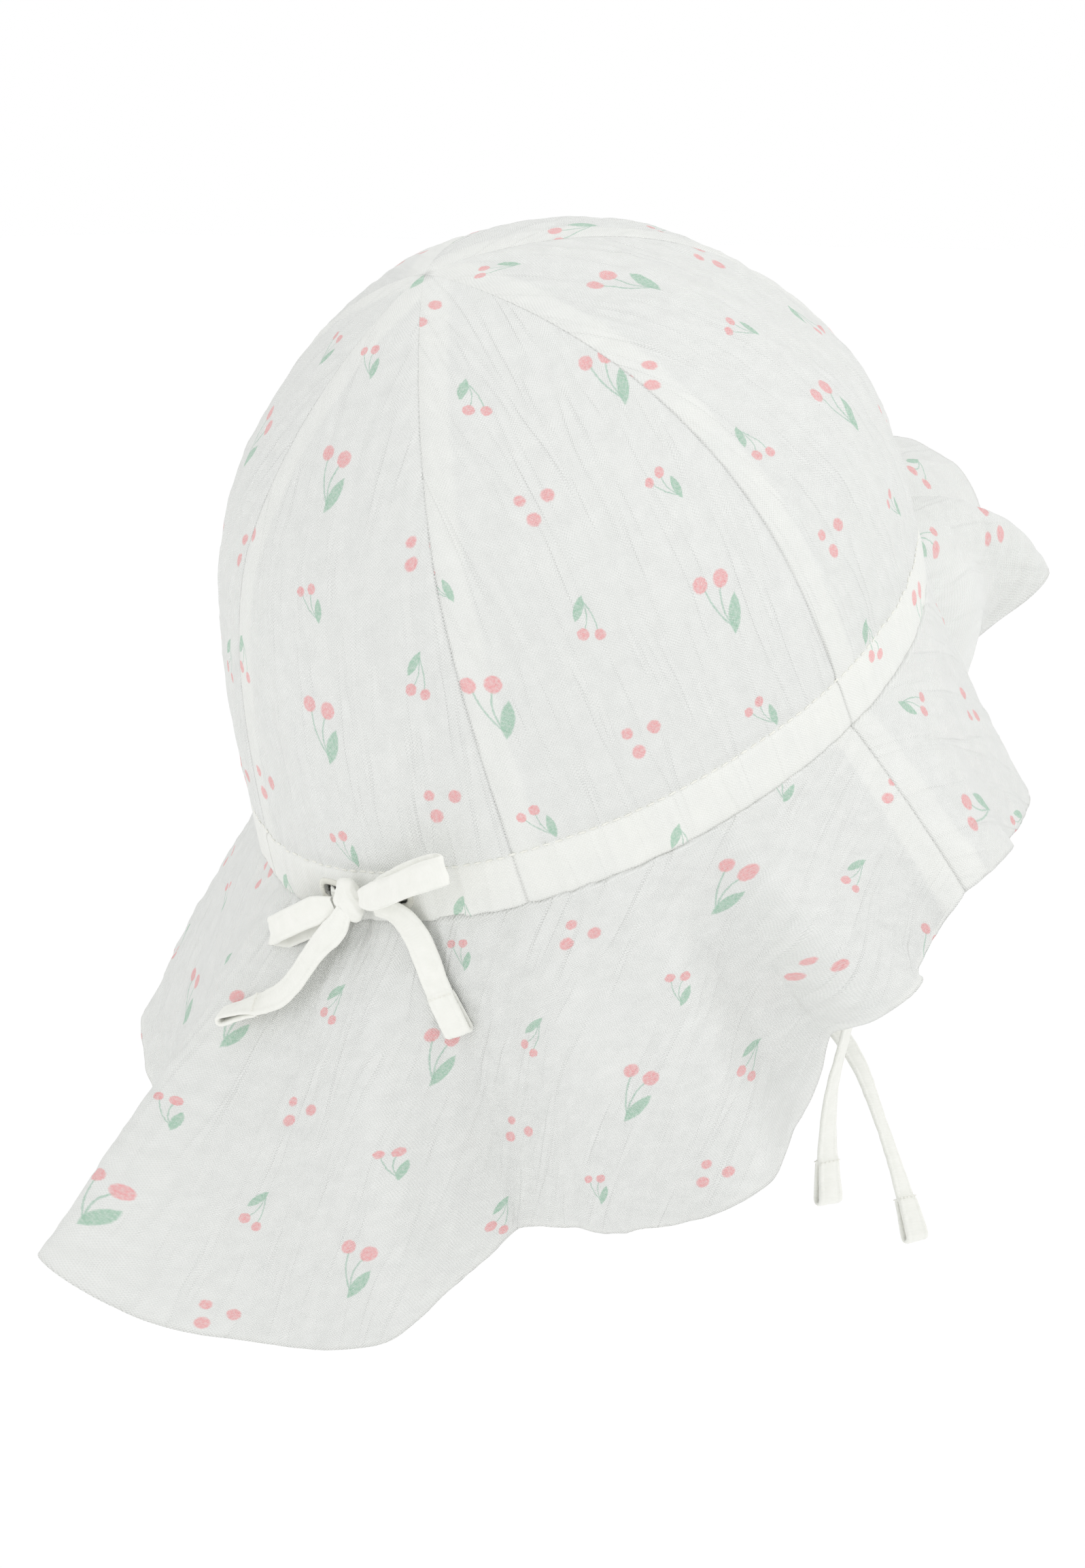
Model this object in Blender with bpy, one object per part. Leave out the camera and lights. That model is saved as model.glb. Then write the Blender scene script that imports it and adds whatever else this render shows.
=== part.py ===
# A small child's sun hat of soft printed gauze: six crown gores, a waved brim,
# a long neck flap, a drawstring tied in a bow at the back and two chin ties.
#
# Units are metres, with +Z up. The brim points to -Y, the neck flap to +Y, the
# wearer's right side is at -X. The hat leans back as it sits on a head that looks
# ahead. The origin is the middle of the head opening, in the seam of crown and brim.
#
# Angles go round the hat in degrees: 0 is the front, 90 the wearer's right, 180 the
# back and 270 the wearer's left. A run is a distance down the brim or flap from its
# seam, and a negative run is a distance up the crown from that seam.

import math

import bmesh
import bpy
import numpy as np

# Head opening and crown
BAND_HALF_LENGTH = 0.0861
BAND_HALF_WIDTH = 0.0760
CROWN_HEIGHT = 0.1142
LEAN = math.radians(29.7)
FRONT_SHOULDER = 4.08
BACK_SHOULDER = 2.50
FRONT_ROUNDNESS = 1.52
BACK_ROUNDNESS = 1.30
FRONT_SWELL = 0.0059
BACK_SWELL = -0.0040
SWELL_TOP = 0.654
GORE_COUNT = 6
APEX_SHARE = 0.9990
SEAM_DIP = 0.0006
SEAM_DIP_ANGLE = 4.0

# Cloth and the gaps between sewn pieces
CLOTH = 0.0012
SEAM_GAP = 0.0004

# Drawstring channel inside the band
CASING_HEIGHT = 0.0118
CASING_WALL = 0.0010
CHANNEL_DEPTH = 0.0020
STRING_THICKNESS = 0.0008

# Brim and neck flap, measured down the cloth
SIDE_LENGTH = 0.046
BRIM_LENGTH = 0.058
FLAP_LENGTH = 0.100
SIDE_SEAM = 90.0
GATHER_DEPTH = 0.0009
GATHER_COUNT = 36
GATHER_LENGTH = 0.030
GATHER_SPREAD = 100.0

# Tape of the bow and the chin ties
TAPE_WIDTH = 0.0060
TAPE_THICKNESS = 0.0010
END_FOLD = 0.011
END_THICKNESS = 0.0022

# Buttonholes that let the drawstring out, either side of the back centre
EYELET_SPACING = 0.0196
EYELET_WIDTH = 0.0062
EYELET_HEIGHT = 0.0036
EYELET_RIM = 0.0010
EYELET_SQUARENESS = 0.7

# Knot of the bow
KNOT_WIDTH = 0.0078
KNOT_DEPTH = 0.0050
KNOT_HEIGHT = 0.0110
KNOT_RISE = 0.0068
KNOT_STANDOFF = 0.0044
KNOT_WRAP = 0.12

# Share of the tape's width at the first steps out of the knot, where it is pinched
PINCH = (0.60, 0.80, 0.93)

# Plain colours of the cloth, the tape and the sewing thread, as shares of red, green
# and blue light
GAUZE_COLOUR = (0.78, 0.79, 0.77)
TAPE_COLOUR = (0.87, 0.87, 0.83)
THREAD_COLOUR = (0.85, 0.84, 0.78)

# Folds of the brim and the flap. Share 0 is as long as the side seam and share 1 as
# long as the brim or the flap. Slopes are degrees below the band plane, at the seam
# and at the edge. Sway is the sideways drift of the edge as a share of its length.
# angle, length share, seam slope, edge slope, sway
FOLDS = [
    (0, 0.90, 4, 38, 0.00),
    (9, 0.85, 24, 60, -0.05),
    (16, 1.45, 8, 78, -0.03),
    (24, 1.00, 30, 112, -0.40),
    (30, 0.92, 88, 98, -0.25),
    (38, 0.83, 90, 86, -0.07),
    (48, 0.80, 86, 86, 0.00),
    (60, 0.66, 80, 82, 0.00),
    (72, 0.42, 76, 82, 0.00),
    (81, 0.17, 68, 76, 0.00),
    (90, 0.00, 66, 75, 0.00),
    (97, 0.06, 66, 84, -0.03),
    (104, 0.11, 62, 82, -0.08),
    (111, 0.15, 54, 76, -0.16),
    (116, 0.17, 46, 84, -0.18),
    (121, 0.27, 72, 106, -0.18),
    (127, 0.49, 82, 90, -0.08),
    (134, 0.59, 68, 82, -0.02),
    (142, 0.62, 60, 86, 0.00),
    (150, 0.61, 50, 96, 0.00),
    (158, 0.54, 66, 86, 0.00),
    (166, 0.56, 76, 88, 0.05),
    (173, 0.72, 66, 80, 0.06),
    (179, 0.92, 50, 74, 0.02),
    (192, 0.98, 46, 58, 0.00),
    (200, 1.03, 38, 46, 0.00),
    (205, 1.01, 32, 32, 0.00),
    (216, 0.85, 44, 70, 0.00),
    (228, 0.63, 44, 60, 0.00),
    (240, 0.46, 42, 47, 0.00),
    (250, 0.44, 42, 46, 0.00),
    (264, 0.16, 45, 60, 0.00),
    (270, 0.00, 50, 62, 0.00),
    (286, 0.35, 44, 64, 0.03),
    (302, 0.70, 62, 84, 0.05),
    (318, 0.85, 34, 58, 0.00),
    (332, 0.95, 20, 58, 0.04),
    (346, 1.00, 1, 27, 0.00),
]

# Routes of the bow's tails over the flap: angle, run, height over the cloth, twist in
# degrees of the tape's flat side. Runs and heights are in metres.
LEFT_TAIL = [
    (182.2, -0.0012, 0.0074, 0),
    (183.9, 0.0042, 0.0066, 0),
    (185.6, 0.0060, 0.0060, 2),
    (188.0, 0.0088, 0.0054, 4),
    (191.1, 0.0153, 0.0042, 8),
    (195.0, 0.0213, 0.0038, 20),
    (198.4, 0.0257, 0.0040, 46),
    (201.6, 0.0313, 0.0046, 58),
]
RIGHT_TAIL = [
    (175.9, -0.0048, 0.0034, 0),
    (173.1, -0.0044, 0.0034, 0),
    (171.1, -0.0024, 0.0032, 0),
    (169.6, 0.0024, 0.0028, 0),
    (169.1, 0.0074, 0.0024, 0),
    (168.7, 0.0140, 0.0022, 6),
    (167.8, 0.0202, 0.0022, 4),
    (166.6, 0.0262, 0.0022, 0),
]

# Loops of the bow: right, out and up from the knot's middle, and the twist
LEFT_LOOP = [
    (-0.0048, 0.0004, -0.0004, 0),
    (-0.0110, 0.0008, -0.0012, 10),
    (-0.0190, 0.0004, -0.0036, 18),
    (-0.0262, -0.0008, -0.0064, 14),
    (-0.0290, -0.0022, -0.0080, 0),
    (-0.0264, -0.0032, -0.0090, -24),
    (-0.0190, -0.0024, -0.0072, -30),
    (-0.0110, -0.0010, -0.0044, -14),
    (-0.0048, -0.0010, -0.0026, 0),
]
RIGHT_LOOP = [
    (0.0048, 0.0012, 0.0020, -24),
    (0.0105, 0.0026, 0.0036, -56),
    (0.0180, 0.0032, 0.0062, -72),
    (0.0262, 0.0024, 0.0094, -70),
    (0.0316, 0.0012, 0.0098, 0),
    (0.0262, 0.0012, 0.0072, 70),
    (0.0180, 0.0022, 0.0040, 72),
    (0.0105, 0.0016, 0.0014, 56),
    (0.0048, 0.0004, 0.0000, 24),
]

# Drawstring's way out through a buttonhole to the knot: how far past the middle of
# the hole, as a share of half its width, and the height over the crown's face
STRING_EXIT = [
    (-0.35, -0.0010),
    (0.30, 0.0008),
    (0.85, 0.0020),
    (1.25, 0.0022),
    (1.65, 0.0022),
]

# Chin ties from inside the band to their free ends: places on the hung hat, and the
# angle that the tape's flat side faces
RIGHT_TIE_START = 84.0
RIGHT_TIE = [
    (-0.0690, -0.0100, -0.0140, 80),
    (-0.0660, -0.0150, -0.0400, 78),
    (-0.0570, -0.0230, -0.0680, 76),
    (-0.0475, -0.0275, -0.0900, 82),
    (-0.0455, -0.0290, -0.1025, 98),
    (-0.0450, -0.0300, -0.1135, 112),
]
LEFT_TIE_START = 276.0
LEFT_TIE = [
    (0.0700, -0.0150, -0.0120, 100),
    (0.0660, -0.0310, -0.0370, 106),
    (0.0500, -0.0560, -0.0590, 108),
    (0.0260, -0.0790, -0.0720, 104),
    (0.0050, -0.0870, -0.0790, 100),
    (-0.0060, -0.0880, -0.0900, 90),
    (-0.0130, -0.0880, -0.1030, 78),
    (-0.0205, -0.0880, -0.1200, 90),
    (-0.0245, -0.0880, -0.1315, 112),
]

# Fineness of the meshes
GORE_COLUMNS = 10
GORE_ROWS = 11
CASING_COLUMNS = 72
BRIM_COLUMNS = 48
BRIM_ROWS = 7
FLAP_COLUMNS = 72
FLAP_ROWS = 11
STRING_COLUMNS = 56
TAPE_STEPS = 30
SLOPE_STEPS = 24
EYELET_STEPS = 14
EYELET_SIDES = 6


def mix(front, back, angle):
    """Value between the front's and the back's at an angle in degrees."""
    share = 0.5 - 0.5 * math.cos(math.radians(angle))
    return front + (back - front) * share


def unit(vector):
    return vector / np.linalg.norm(vector)


def lean_back(point):
    """Place on the hat's own band plane, brought to the hung hat."""
    x, y, z = point
    cosine = math.cos(LEAN)
    sine = math.sin(LEAN)
    return np.array([x, y * cosine + z * sine, z * cosine - y * sine])


def seam_valley(angle):
    """0 on the gores and 1 in the seams between them."""
    gore = 360.0 / GORE_COUNT
    off_seam = (angle % gore) - gore / 2
    return math.exp(-(off_seam / SEAM_DIP_ANGLE) ** 2)


def crown_point(angle, share):
    """Outer face of the crown at a share of its height, on the band plane."""
    shoulder = mix(FRONT_SHOULDER, BACK_SHOULDER, angle)
    roundness = mix(FRONT_ROUNDNESS, BACK_ROUNDNESS, angle)
    swell = mix(FRONT_SWELL, BACK_SWELL, angle)
    swell *= math.sin(math.pi * min(max(share, 0.0) / SWELL_TOP, 1.0))
    swell -= SEAM_DIP * seam_valley(angle) * math.sin(math.pi * share)
    narrowing = (1.0 - max(share, 0.0) ** shoulder) ** (1.0 / roundness)
    turn = math.radians(angle)
    x = -(BAND_HALF_WIDTH * narrowing + swell) * math.sin(turn)
    y = -(BAND_HALF_LENGTH * narrowing + swell) * math.cos(turn)
    return np.array([x, y, CROWN_HEIGHT * share])


def crown_normal(angle, share):
    """Outward normal of the crown's outer face."""
    step = 0.5
    low = max(share - 0.002, 0.0)
    high = min(share + 0.002, 0.9995)
    around = crown_point(angle + step, share) - crown_point(angle - step, share)
    upward = crown_point(angle, high) - crown_point(angle, low)
    return unit(np.cross(upward, around))


def band_outward(angle):
    """Level outward direction at the head opening."""
    turn = math.radians(angle)
    return unit(np.array([-math.sin(turn) / BAND_HALF_WIDTH, -math.cos(turn) / BAND_HALF_LENGTH, 0.0]))


def edge_length(angle, share):
    """Length of the brim or flap from its seam to its edge."""
    behind = SIDE_SEAM < angle < 360.0 - SIDE_SEAM
    longest = FLAP_LENGTH if behind else BRIM_LENGTH
    return SIDE_LENGTH + share * (longest - SIDE_LENGTH)


def monotone_slopes(places, values):
    """Slopes of a smooth curve through the values that never overshoots them."""
    steps = np.diff(places)
    rises = np.diff(values) / steps
    slopes = np.zeros(len(values))
    for i in range(1, len(values) - 1):
        before = rises[i - 1]
        after = rises[i]
        if before * after > 0:
            near = 2 * steps[i] + steps[i - 1]
            far = steps[i] + 2 * steps[i - 1]
            slopes[i] = (near + far) / (near / before + far / after)
    return slopes


def fold_table():
    """Fold rows once round the hat and a little past both ends."""
    rows = []
    for angle, share, seam_slope, edge_slope, sway in FOLDS:
        rows.append((angle, edge_length(angle, share), seam_slope, edge_slope, sway))
    before = [(row[0] - 360, *row[1:]) for row in rows[-3:]]
    after = [(row[0] + 360, *row[1:]) for row in rows[:3]]
    return np.array(before + rows + after, float)


FOLD_ROWS = fold_table()
FOLD_SLOPES = [monotone_slopes(FOLD_ROWS[:, 0], FOLD_ROWS[:, column]) for column in range(1, 5)]


def fold_at(angle):
    """Length, seam slope, edge slope and sway of the cloth at an angle."""
    angle = angle % 360.0
    places = FOLD_ROWS[:, 0]
    i = int(np.searchsorted(places, angle, side="right")) - 1
    gap = places[i + 1] - places[i]
    t = (angle - places[i]) / gap
    found = []
    for column in range(1, 5):
        low = FOLD_ROWS[i, column]
        high = FOLD_ROWS[i + 1, column]
        low_slope = FOLD_SLOPES[column - 1][i] * gap
        high_slope = FOLD_SLOPES[column - 1][i + 1] * gap
        value = low * (1 + 2 * t) * (1 - t) ** 2 + low_slope * t * (1 - t) ** 2
        value += high * t * t * (3 - 2 * t) - high_slope * t * t * (1 - t)
        found.append(value)
    return found


def gather(angle, run):
    """Small ruffles that the drawstring draws up round the back."""
    reach = abs((angle % 360.0) - 180.0) / GATHER_SPREAD
    if reach >= 1.0 or run >= GATHER_LENGTH:
        return 0.0
    fade = math.cos(math.pi / 2 * reach) * (1.0 - run / GATHER_LENGTH)
    rise = math.sin(math.pi * min(run / (0.2 * GATHER_LENGTH), 0.5))
    return GATHER_DEPTH * fade * rise * math.cos(math.radians(GATHER_COUNT * angle))


def cloth_point(angle, share):
    """Middle of the brim's or flap's cloth at a share of its length."""
    length, seam_slope, edge_slope, sway = fold_at(angle)
    steps = max(1, round(SLOPE_STEPS * share))
    out = 0.0
    drop = 0.0
    for i in range(steps):
        along = share * (i + 0.5) / steps
        slope = math.radians(seam_slope + (edge_slope - seam_slope) * along)
        out += math.cos(slope) * length * share / steps
        drop += math.sin(slope) * length * share / steps
    outward = band_outward(angle)
    sideways = np.array([outward[1], -outward[0], 0.0])
    place = crown_point(angle, 0.0) - outward * CLOTH / 2
    place += outward * (out + gather(angle, length * share))
    place += sideways * sway * length * share * share
    place[2] -= SEAM_GAP + drop
    return place


def cloth_normal(angle, share):
    """Normal of the brim's or flap's upper face."""
    step = 0.25
    low = max(share - 0.01, 0.0)
    high = min(share + 0.01, 1.0)
    around = cloth_point(angle + step, share) - cloth_point(angle - step, share)
    downward = cloth_point(angle, high) - cloth_point(angle, low)
    return unit(np.cross(around, downward))


def hat_place(angle, run, lift):
    """Place over the hat's outer face, with its normal, on the band plane."""
    if run < 0.0:
        share = -run / CROWN_HEIGHT
        normal = crown_normal(angle, share)
        return crown_point(angle, share) + normal * lift, normal
    share = run / fold_at(angle)[0]
    normal = cloth_normal(angle, max(share, 0.02))
    return cloth_point(angle, share) + normal * (CLOTH / 2 + lift), normal


def curve_through(points, count):
    """Evenly parted points of a smooth curve through the given ones."""
    points = np.array(points, float)
    steps = np.linalg.norm(np.diff(points[:, :3], axis=0), axis=1)
    places = np.concatenate([[0.0], np.cumsum(steps)])
    tangents = np.gradient(points, places, axis=0)
    found = []
    for place in np.linspace(0.0, places[-1], count):
        i = min(int(np.searchsorted(places, place, side="right")) - 1, len(points) - 2)
        gap = places[i + 1] - places[i]
        t = (place - places[i]) / gap
        value = points[i] * (1 + 2 * t) * (1 - t) ** 2 + tangents[i] * gap * t * (1 - t) ** 2
        value += points[i + 1] * t * t * (3 - 2 * t) - tangents[i + 1] * gap * t * t * (1 - t)
        found.append(value)
    return np.array(found)


def cloth_material(name, colour):
    material = bpy.data.materials.new(name)
    material.use_nodes = True
    shader = material.node_tree.nodes["Principled BSDF"]
    shader.inputs["Base Color"].default_value = (*colour, 1.0)
    shader.inputs["Roughness"].default_value = 0.9
    shader.inputs["Metallic"].default_value = 0.0
    return material


def finish_object(name, mesh_data, colour, flat=False):
    """Turns a bmesh into a node's object with outward faces and its own material."""
    mesh_data.normal_update()
    bmesh.ops.recalc_face_normals(mesh_data, faces=mesh_data.faces[:])
    mesh = bpy.data.meshes.new(name)
    mesh_data.to_mesh(mesh)
    mesh_data.free()
    mesh.materials.append(cloth_material(name, colour))
    if not flat:
        mesh.shade_smooth()
        mesh.set_sharp_from_angle(angle=math.radians(40))
    item = bpy.data.objects.new(name, mesh)
    bpy.context.collection.objects.link(item)
    return item


def wall_object(name, outer, inner, colour, closed=False):
    """Closed cloth wall between an outer and an inner grid, rows of columns."""
    mesh_data = bmesh.new()
    grids = []
    for grid in (outer, inner):
        grids.append([[mesh_data.verts.new(lean_back(point)) for point in row] for row in grid])
    rows = len(outer)
    columns = len(outer[0])
    steps = columns if closed else columns - 1
    for grid in grids:
        for r in range(rows - 1):
            for c in range(steps):
                d = (c + 1) % columns
                mesh_data.faces.new((grid[r][c], grid[r][d], grid[r + 1][d], grid[r + 1][c]))
    top, under = grids
    for r in (0, rows - 1):
        for c in range(steps):
            d = (c + 1) % columns
            mesh_data.faces.new((top[r][c], top[r][d], under[r][d], under[r][c]))
    if not closed:
        for c in (0, columns - 1):
            for r in range(rows - 1):
                mesh_data.faces.new((top[r][c], top[r + 1][c], under[r + 1][c], under[r][c]))
    return finish_object(name, mesh_data, colour)


def tape_object(name, spine, facings, widths, thicknesses, colour):
    """Flat tape along a spine, its flat side turned to the facings."""
    mesh_data = bmesh.new()
    tangents = np.gradient(spine, axis=0)
    rings = []
    for i, point in enumerate(spine):
        tangent = unit(tangents[i])
        side = unit(np.cross(tangent, facings[i]))
        normal = np.cross(side, tangent)
        half = side * widths[i] / 2
        thick = normal * thicknesses[i] / 2
        corners = (point - half - thick, point + half - thick, point + half + thick, point - half + thick)
        rings.append([mesh_data.verts.new(corner) for corner in corners])
    for first, second in zip(rings, rings[1:]):
        for c in range(4):
            d = (c + 1) % 4
            mesh_data.faces.new((first[c], first[d], second[d], second[c]))
    mesh_data.faces.new(rings[0])
    mesh_data.faces.new(rings[-1][::-1])
    return finish_object(name, mesh_data, colour)


def twisted(normal, tangent, degrees):
    """A facing turned about the tape's run."""
    tangent = unit(tangent)
    turn = math.radians(degrees)
    side = np.cross(tangent, normal)
    return normal * math.cos(turn) + side * math.sin(turn)


def build_gores():
    """Crown gores, with a seam either side of the back one's middle."""
    gore = 360.0 / GORE_COUNT
    names = ("back", "back_left", "front_left", "front", "front_right", "back_right")
    gores = {}
    for index, name in enumerate(names):
        middle = 180.0 + gore * index
        outer = []
        inner = []
        for r in range(GORE_ROWS + 1):
            share = APEX_SHARE * (1.0 - (1.0 - r / GORE_ROWS) ** 1.5)
            outer_row = []
            inner_row = []
            for c in range(GORE_COLUMNS + 1):
                across = 2.0 * c / GORE_COLUMNS - 1.0
                angle = middle + across * gore / 2
                point = crown_point(angle, share)
                normal = crown_normal(angle, share)
                if r == 0:
                    normal = band_outward(angle)
                turn = math.radians(angle)
                sideways = np.array([-math.cos(turn), math.sin(turn), 0.0])
                inset = -sideways * across * SEAM_GAP / 2
                outer_row.append(point + inset)
                inner_row.append(point + inset - normal * CLOTH)
            outer.append(outer_row)
            inner.append(inner_row)
        gores[name] = wall_object(f"crown_{name}_gore", outer, inner, GAUZE_COLOUR)
    return gores


def eyelet_angles():
    """Angles of the two buttonholes, the wearer's right one first."""
    offset = math.degrees(EYELET_SPACING / 2 / BAND_HALF_WIDTH)
    return 180.0 - offset, 180.0 + offset


def eyelet_oval(angle, grow, lift, count):
    """Points of a full oval round a buttonhole, over the crown's face."""
    points = []
    for i in range(count):
        turn = 2 * math.pi * i / count
        level = math.copysign(abs(math.cos(turn)) ** EYELET_SQUARENESS, math.cos(turn))
        steep = math.copysign(abs(math.sin(turn)) ** EYELET_SQUARENESS, math.sin(turn))
        across = (EYELET_WIDTH / 2 + grow) * level
        rise = (EYELET_HEIGHT / 2 + grow) * steep
        up = CASING_HEIGHT / 2 + rise
        here = angle + math.degrees(across / BAND_HALF_WIDTH)
        share = up / CROWN_HEIGHT
        points.append(crown_point(here, share) + crown_normal(here, share) * lift)
    return points


def cut_eyelet(panel, name, angle):
    """Oval hole through the back gore for the drawstring."""
    mesh_data = bmesh.new()
    rings = []
    for lift in (2 * CLOTH, -2 * CLOTH):
        ring = eyelet_oval(angle, 0.0, lift, EYELET_STEPS)
        rings.append([mesh_data.verts.new(lean_back(point)) for point in ring])
    for i in range(EYELET_STEPS):
        j = (i + 1) % EYELET_STEPS
        mesh_data.faces.new((rings[0][i], rings[0][j], rings[1][j], rings[1][i]))
    mesh_data.faces.new(rings[0])
    mesh_data.faces.new(rings[1][::-1])
    cutter = finish_object(name, mesh_data, THREAD_COLOUR, flat=True)
    cutter.hide_render = True
    cutter.display_type = "WIRE"
    cut = panel.modifiers.new(name, "BOOLEAN")
    cut.operation = "DIFFERENCE"
    cut.solver = "EXACT"
    cut.object = cutter


def build_eyelet_rim(name, angle):
    """Embroidered rim round a buttonhole, a bead of thread on the cloth."""
    mesh_data = bmesh.new()
    radius = EYELET_RIM / 2
    rings = []
    for inward in range(EYELET_SIDES):
        turn = 2 * math.pi * inward / EYELET_SIDES
        grow = radius + radius * math.cos(turn)
        lift = SEAM_GAP + radius + radius * math.sin(turn)
        ring = eyelet_oval(angle, grow, lift, EYELET_STEPS)
        rings.append([mesh_data.verts.new(lean_back(point)) for point in ring])
    for s in range(EYELET_SIDES):
        t = (s + 1) % EYELET_SIDES
        for i in range(EYELET_STEPS):
            j = (i + 1) % EYELET_STEPS
            mesh_data.faces.new((rings[s][i], rings[s][j], rings[t][j], rings[t][i]))
    return finish_object(name, mesh_data, THREAD_COLOUR)


def inside_crown(angle, height, depth):
    """Place inside the crown wall, a depth under its outer face."""
    share = height / CROWN_HEIGHT
    normal = crown_normal(angle, share) if share > 0 else band_outward(angle)
    return crown_point(angle, share) - normal * depth


def build_casing():
    """Tape sewn inside the band that makes the drawstring's channel."""
    near = CLOTH + CHANNEL_DEPTH
    far = near + CASING_WALL
    grids = []
    for depth in (near, far):
        rows = []
        for height in (0.0, CASING_HEIGHT):
            angles = [360.0 * c / CASING_COLUMNS for c in range(CASING_COLUMNS)]
            rows.append([inside_crown(angle, height, depth) for angle in angles])
        grids.append(rows)
    return wall_object("casing", grids[0], grids[1], GAUZE_COLOUR, closed=True)


def build_drawstring():
    """Drawstring's hidden run: out of one buttonhole, round the front and back out."""
    middle = CASING_HEIGHT / 2
    bare = EYELET_HEIGHT - 3 * SEAM_GAP
    half_hole = math.degrees(EYELET_WIDTH / 2 / BAND_HALF_WIDTH)
    right_hole, left_hole = eyelet_angles()
    places = [(right_hole + half_hole * share, lift, bare) for share, lift in reversed(STRING_EXIT)]
    depth = -(CLOTH + CHANNEL_DEPTH / 2)
    first = right_hole - 1.1 * half_hole
    for i in range(STRING_COLUMNS + 1):
        angle = first * (1 - 2 * i / STRING_COLUMNS)
        narrow = i in (0, STRING_COLUMNS)
        places.append((angle, depth, bare if narrow else TAPE_WIDTH))
    for share, lift in STRING_EXIT:
        places.append((left_hole - half_hole * share, lift, bare))
    spine = np.array([lean_back(inside_crown(angle, middle, -lift)) for angle, lift, width in places])
    share = middle / CROWN_HEIGHT
    facings = [lean_back(crown_normal(angle, share)) for angle, lift, width in places]
    widths = [width for angle, lift, width in places]
    thick = [STRING_THICKNESS] * len(places)
    return tape_object("drawstring", spine, facings, widths, thick, TAPE_COLOUR)


def build_brim(name, start, end, columns, rows):
    """Waved cloth of the brim or the flap between two side seams."""
    top = []
    under = []
    trim = math.degrees(SEAM_GAP / 2 / BAND_HALF_WIDTH)
    for r in range(rows + 1):
        share = (r / rows) ** 1.15
        top_row = []
        under_row = []
        for c in range(columns + 1):
            angle = start + trim + (end - start - 2 * trim) * c / columns
            middle = cloth_point(angle, share)
            normal = cloth_normal(angle, share) if r else band_outward(angle)
            top_row.append(middle + normal * CLOTH / 2)
            under_row.append(middle - normal * CLOTH / 2)
        top.append(top_row)
        under.append(under_row)
    return wall_object(name, top, under, GAUZE_COLOUR)


def knot_frame():
    """Middle of the bow's knot and its right, out and up directions, hung."""
    share = KNOT_RISE / CROWN_HEIGHT
    outward = crown_normal(180.0, share)
    middle = crown_point(180.0, share) + outward * KNOT_STANDOFF
    right = np.array([-1.0, 0.0, 0.0])
    upward = np.cross(outward, right)
    return lean_back(middle), lean_back(right), lean_back(outward), lean_back(upward)


def build_knot():
    """Knot of the bow, a wrapped lump of tape."""
    middle, right, outward, upward = knot_frame()
    mesh_data = bmesh.new()
    bmesh.ops.create_uvsphere(mesh_data, u_segments=12, v_segments=8, radius=0.5)
    for vert in mesh_data.verts:
        x, y, z = vert.co
        swell = 1.0 + KNOT_WRAP * math.cos(4 * math.pi * z)
        place = middle + right * x * KNOT_WIDTH * swell
        vert.co = place + outward * y * KNOT_DEPTH + upward * z * KNOT_HEIGHT
    return finish_object("bow_knot", mesh_data, TAPE_COLOUR)


def build_bow_loop(name, route):
    """Loop of the bow that leaves the knot and comes back to it."""
    middle, right, outward, upward = knot_frame()
    dense = curve_through(route, TAPE_STEPS)
    spine = np.array([middle + right * row[0] + outward * row[1] + upward * row[2] for row in dense])
    tangents = np.gradient(spine, axis=0)
    facings = []
    for tangent, row in zip(tangents, dense):
        plane = unit(np.cross(upward, tangent))
        facings.append(twisted(plane, tangent, row[3]))
    plain = len(spine) - 2 * len(PINCH)
    widths = [TAPE_WIDTH * share for share in (*PINCH, *[1.0] * plain, *reversed(PINCH))]
    return tape_object(name, spine, facings, widths, [TAPE_THICKNESS] * len(spine), TAPE_COLOUR)


def end_thicknesses(spine):
    """Tape thickness along a spine, doubled where its end is folded back."""
    steps = np.linalg.norm(np.diff(spine, axis=0), axis=1)
    left = steps.sum() - np.concatenate([[0.0], np.cumsum(steps)])
    return [END_THICKNESS if rest <= END_FOLD else TAPE_THICKNESS for rest in left]


def build_bow_tail(name, route):
    """Tail of the bow that lies over the flap."""
    rows = []
    for angle, run, lift, twist in route:
        place, normal = hat_place(angle, run, lift)
        rows.append((*lean_back(place), *lean_back(normal), twist))
    dense = curve_through(rows, TAPE_STEPS)
    spine = dense[:, :3]
    tangents = np.gradient(spine, axis=0)
    facings = [twisted(unit(row[3:6]), tangent, row[6]) for row, tangent in zip(dense, tangents)]
    widths = [TAPE_WIDTH * share for share in (*PINCH, *[1.0] * (len(spine) - len(PINCH)))]
    return tape_object(name, spine, facings, widths, end_thicknesses(spine), TAPE_COLOUR)


def build_chin_tie(name, start_angle, route):
    """Chin tie from the casing's inner face to its free end."""
    depth = CLOTH + CHANNEL_DEPTH + CASING_WALL + SEAM_GAP + TAPE_THICKNESS / 2
    facing = start_angle % 180.0
    rows = []
    for height in (CASING_HEIGHT / 2, 0.0):
        rows.append((*lean_back(inside_crown(start_angle, height, depth)), facing))
    dense = curve_through([*rows, *route], 2 * TAPE_STEPS)
    spine = dense[:, :3]
    turns = np.radians(dense[:, 3])
    facings = [np.array([-math.sin(turn), -math.cos(turn), 0.0]) for turn in turns]
    widths = [TAPE_WIDTH] * len(spine)
    return tape_object(name, spine, facings, widths, end_thicknesses(spine), TAPE_COLOUR)


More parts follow.
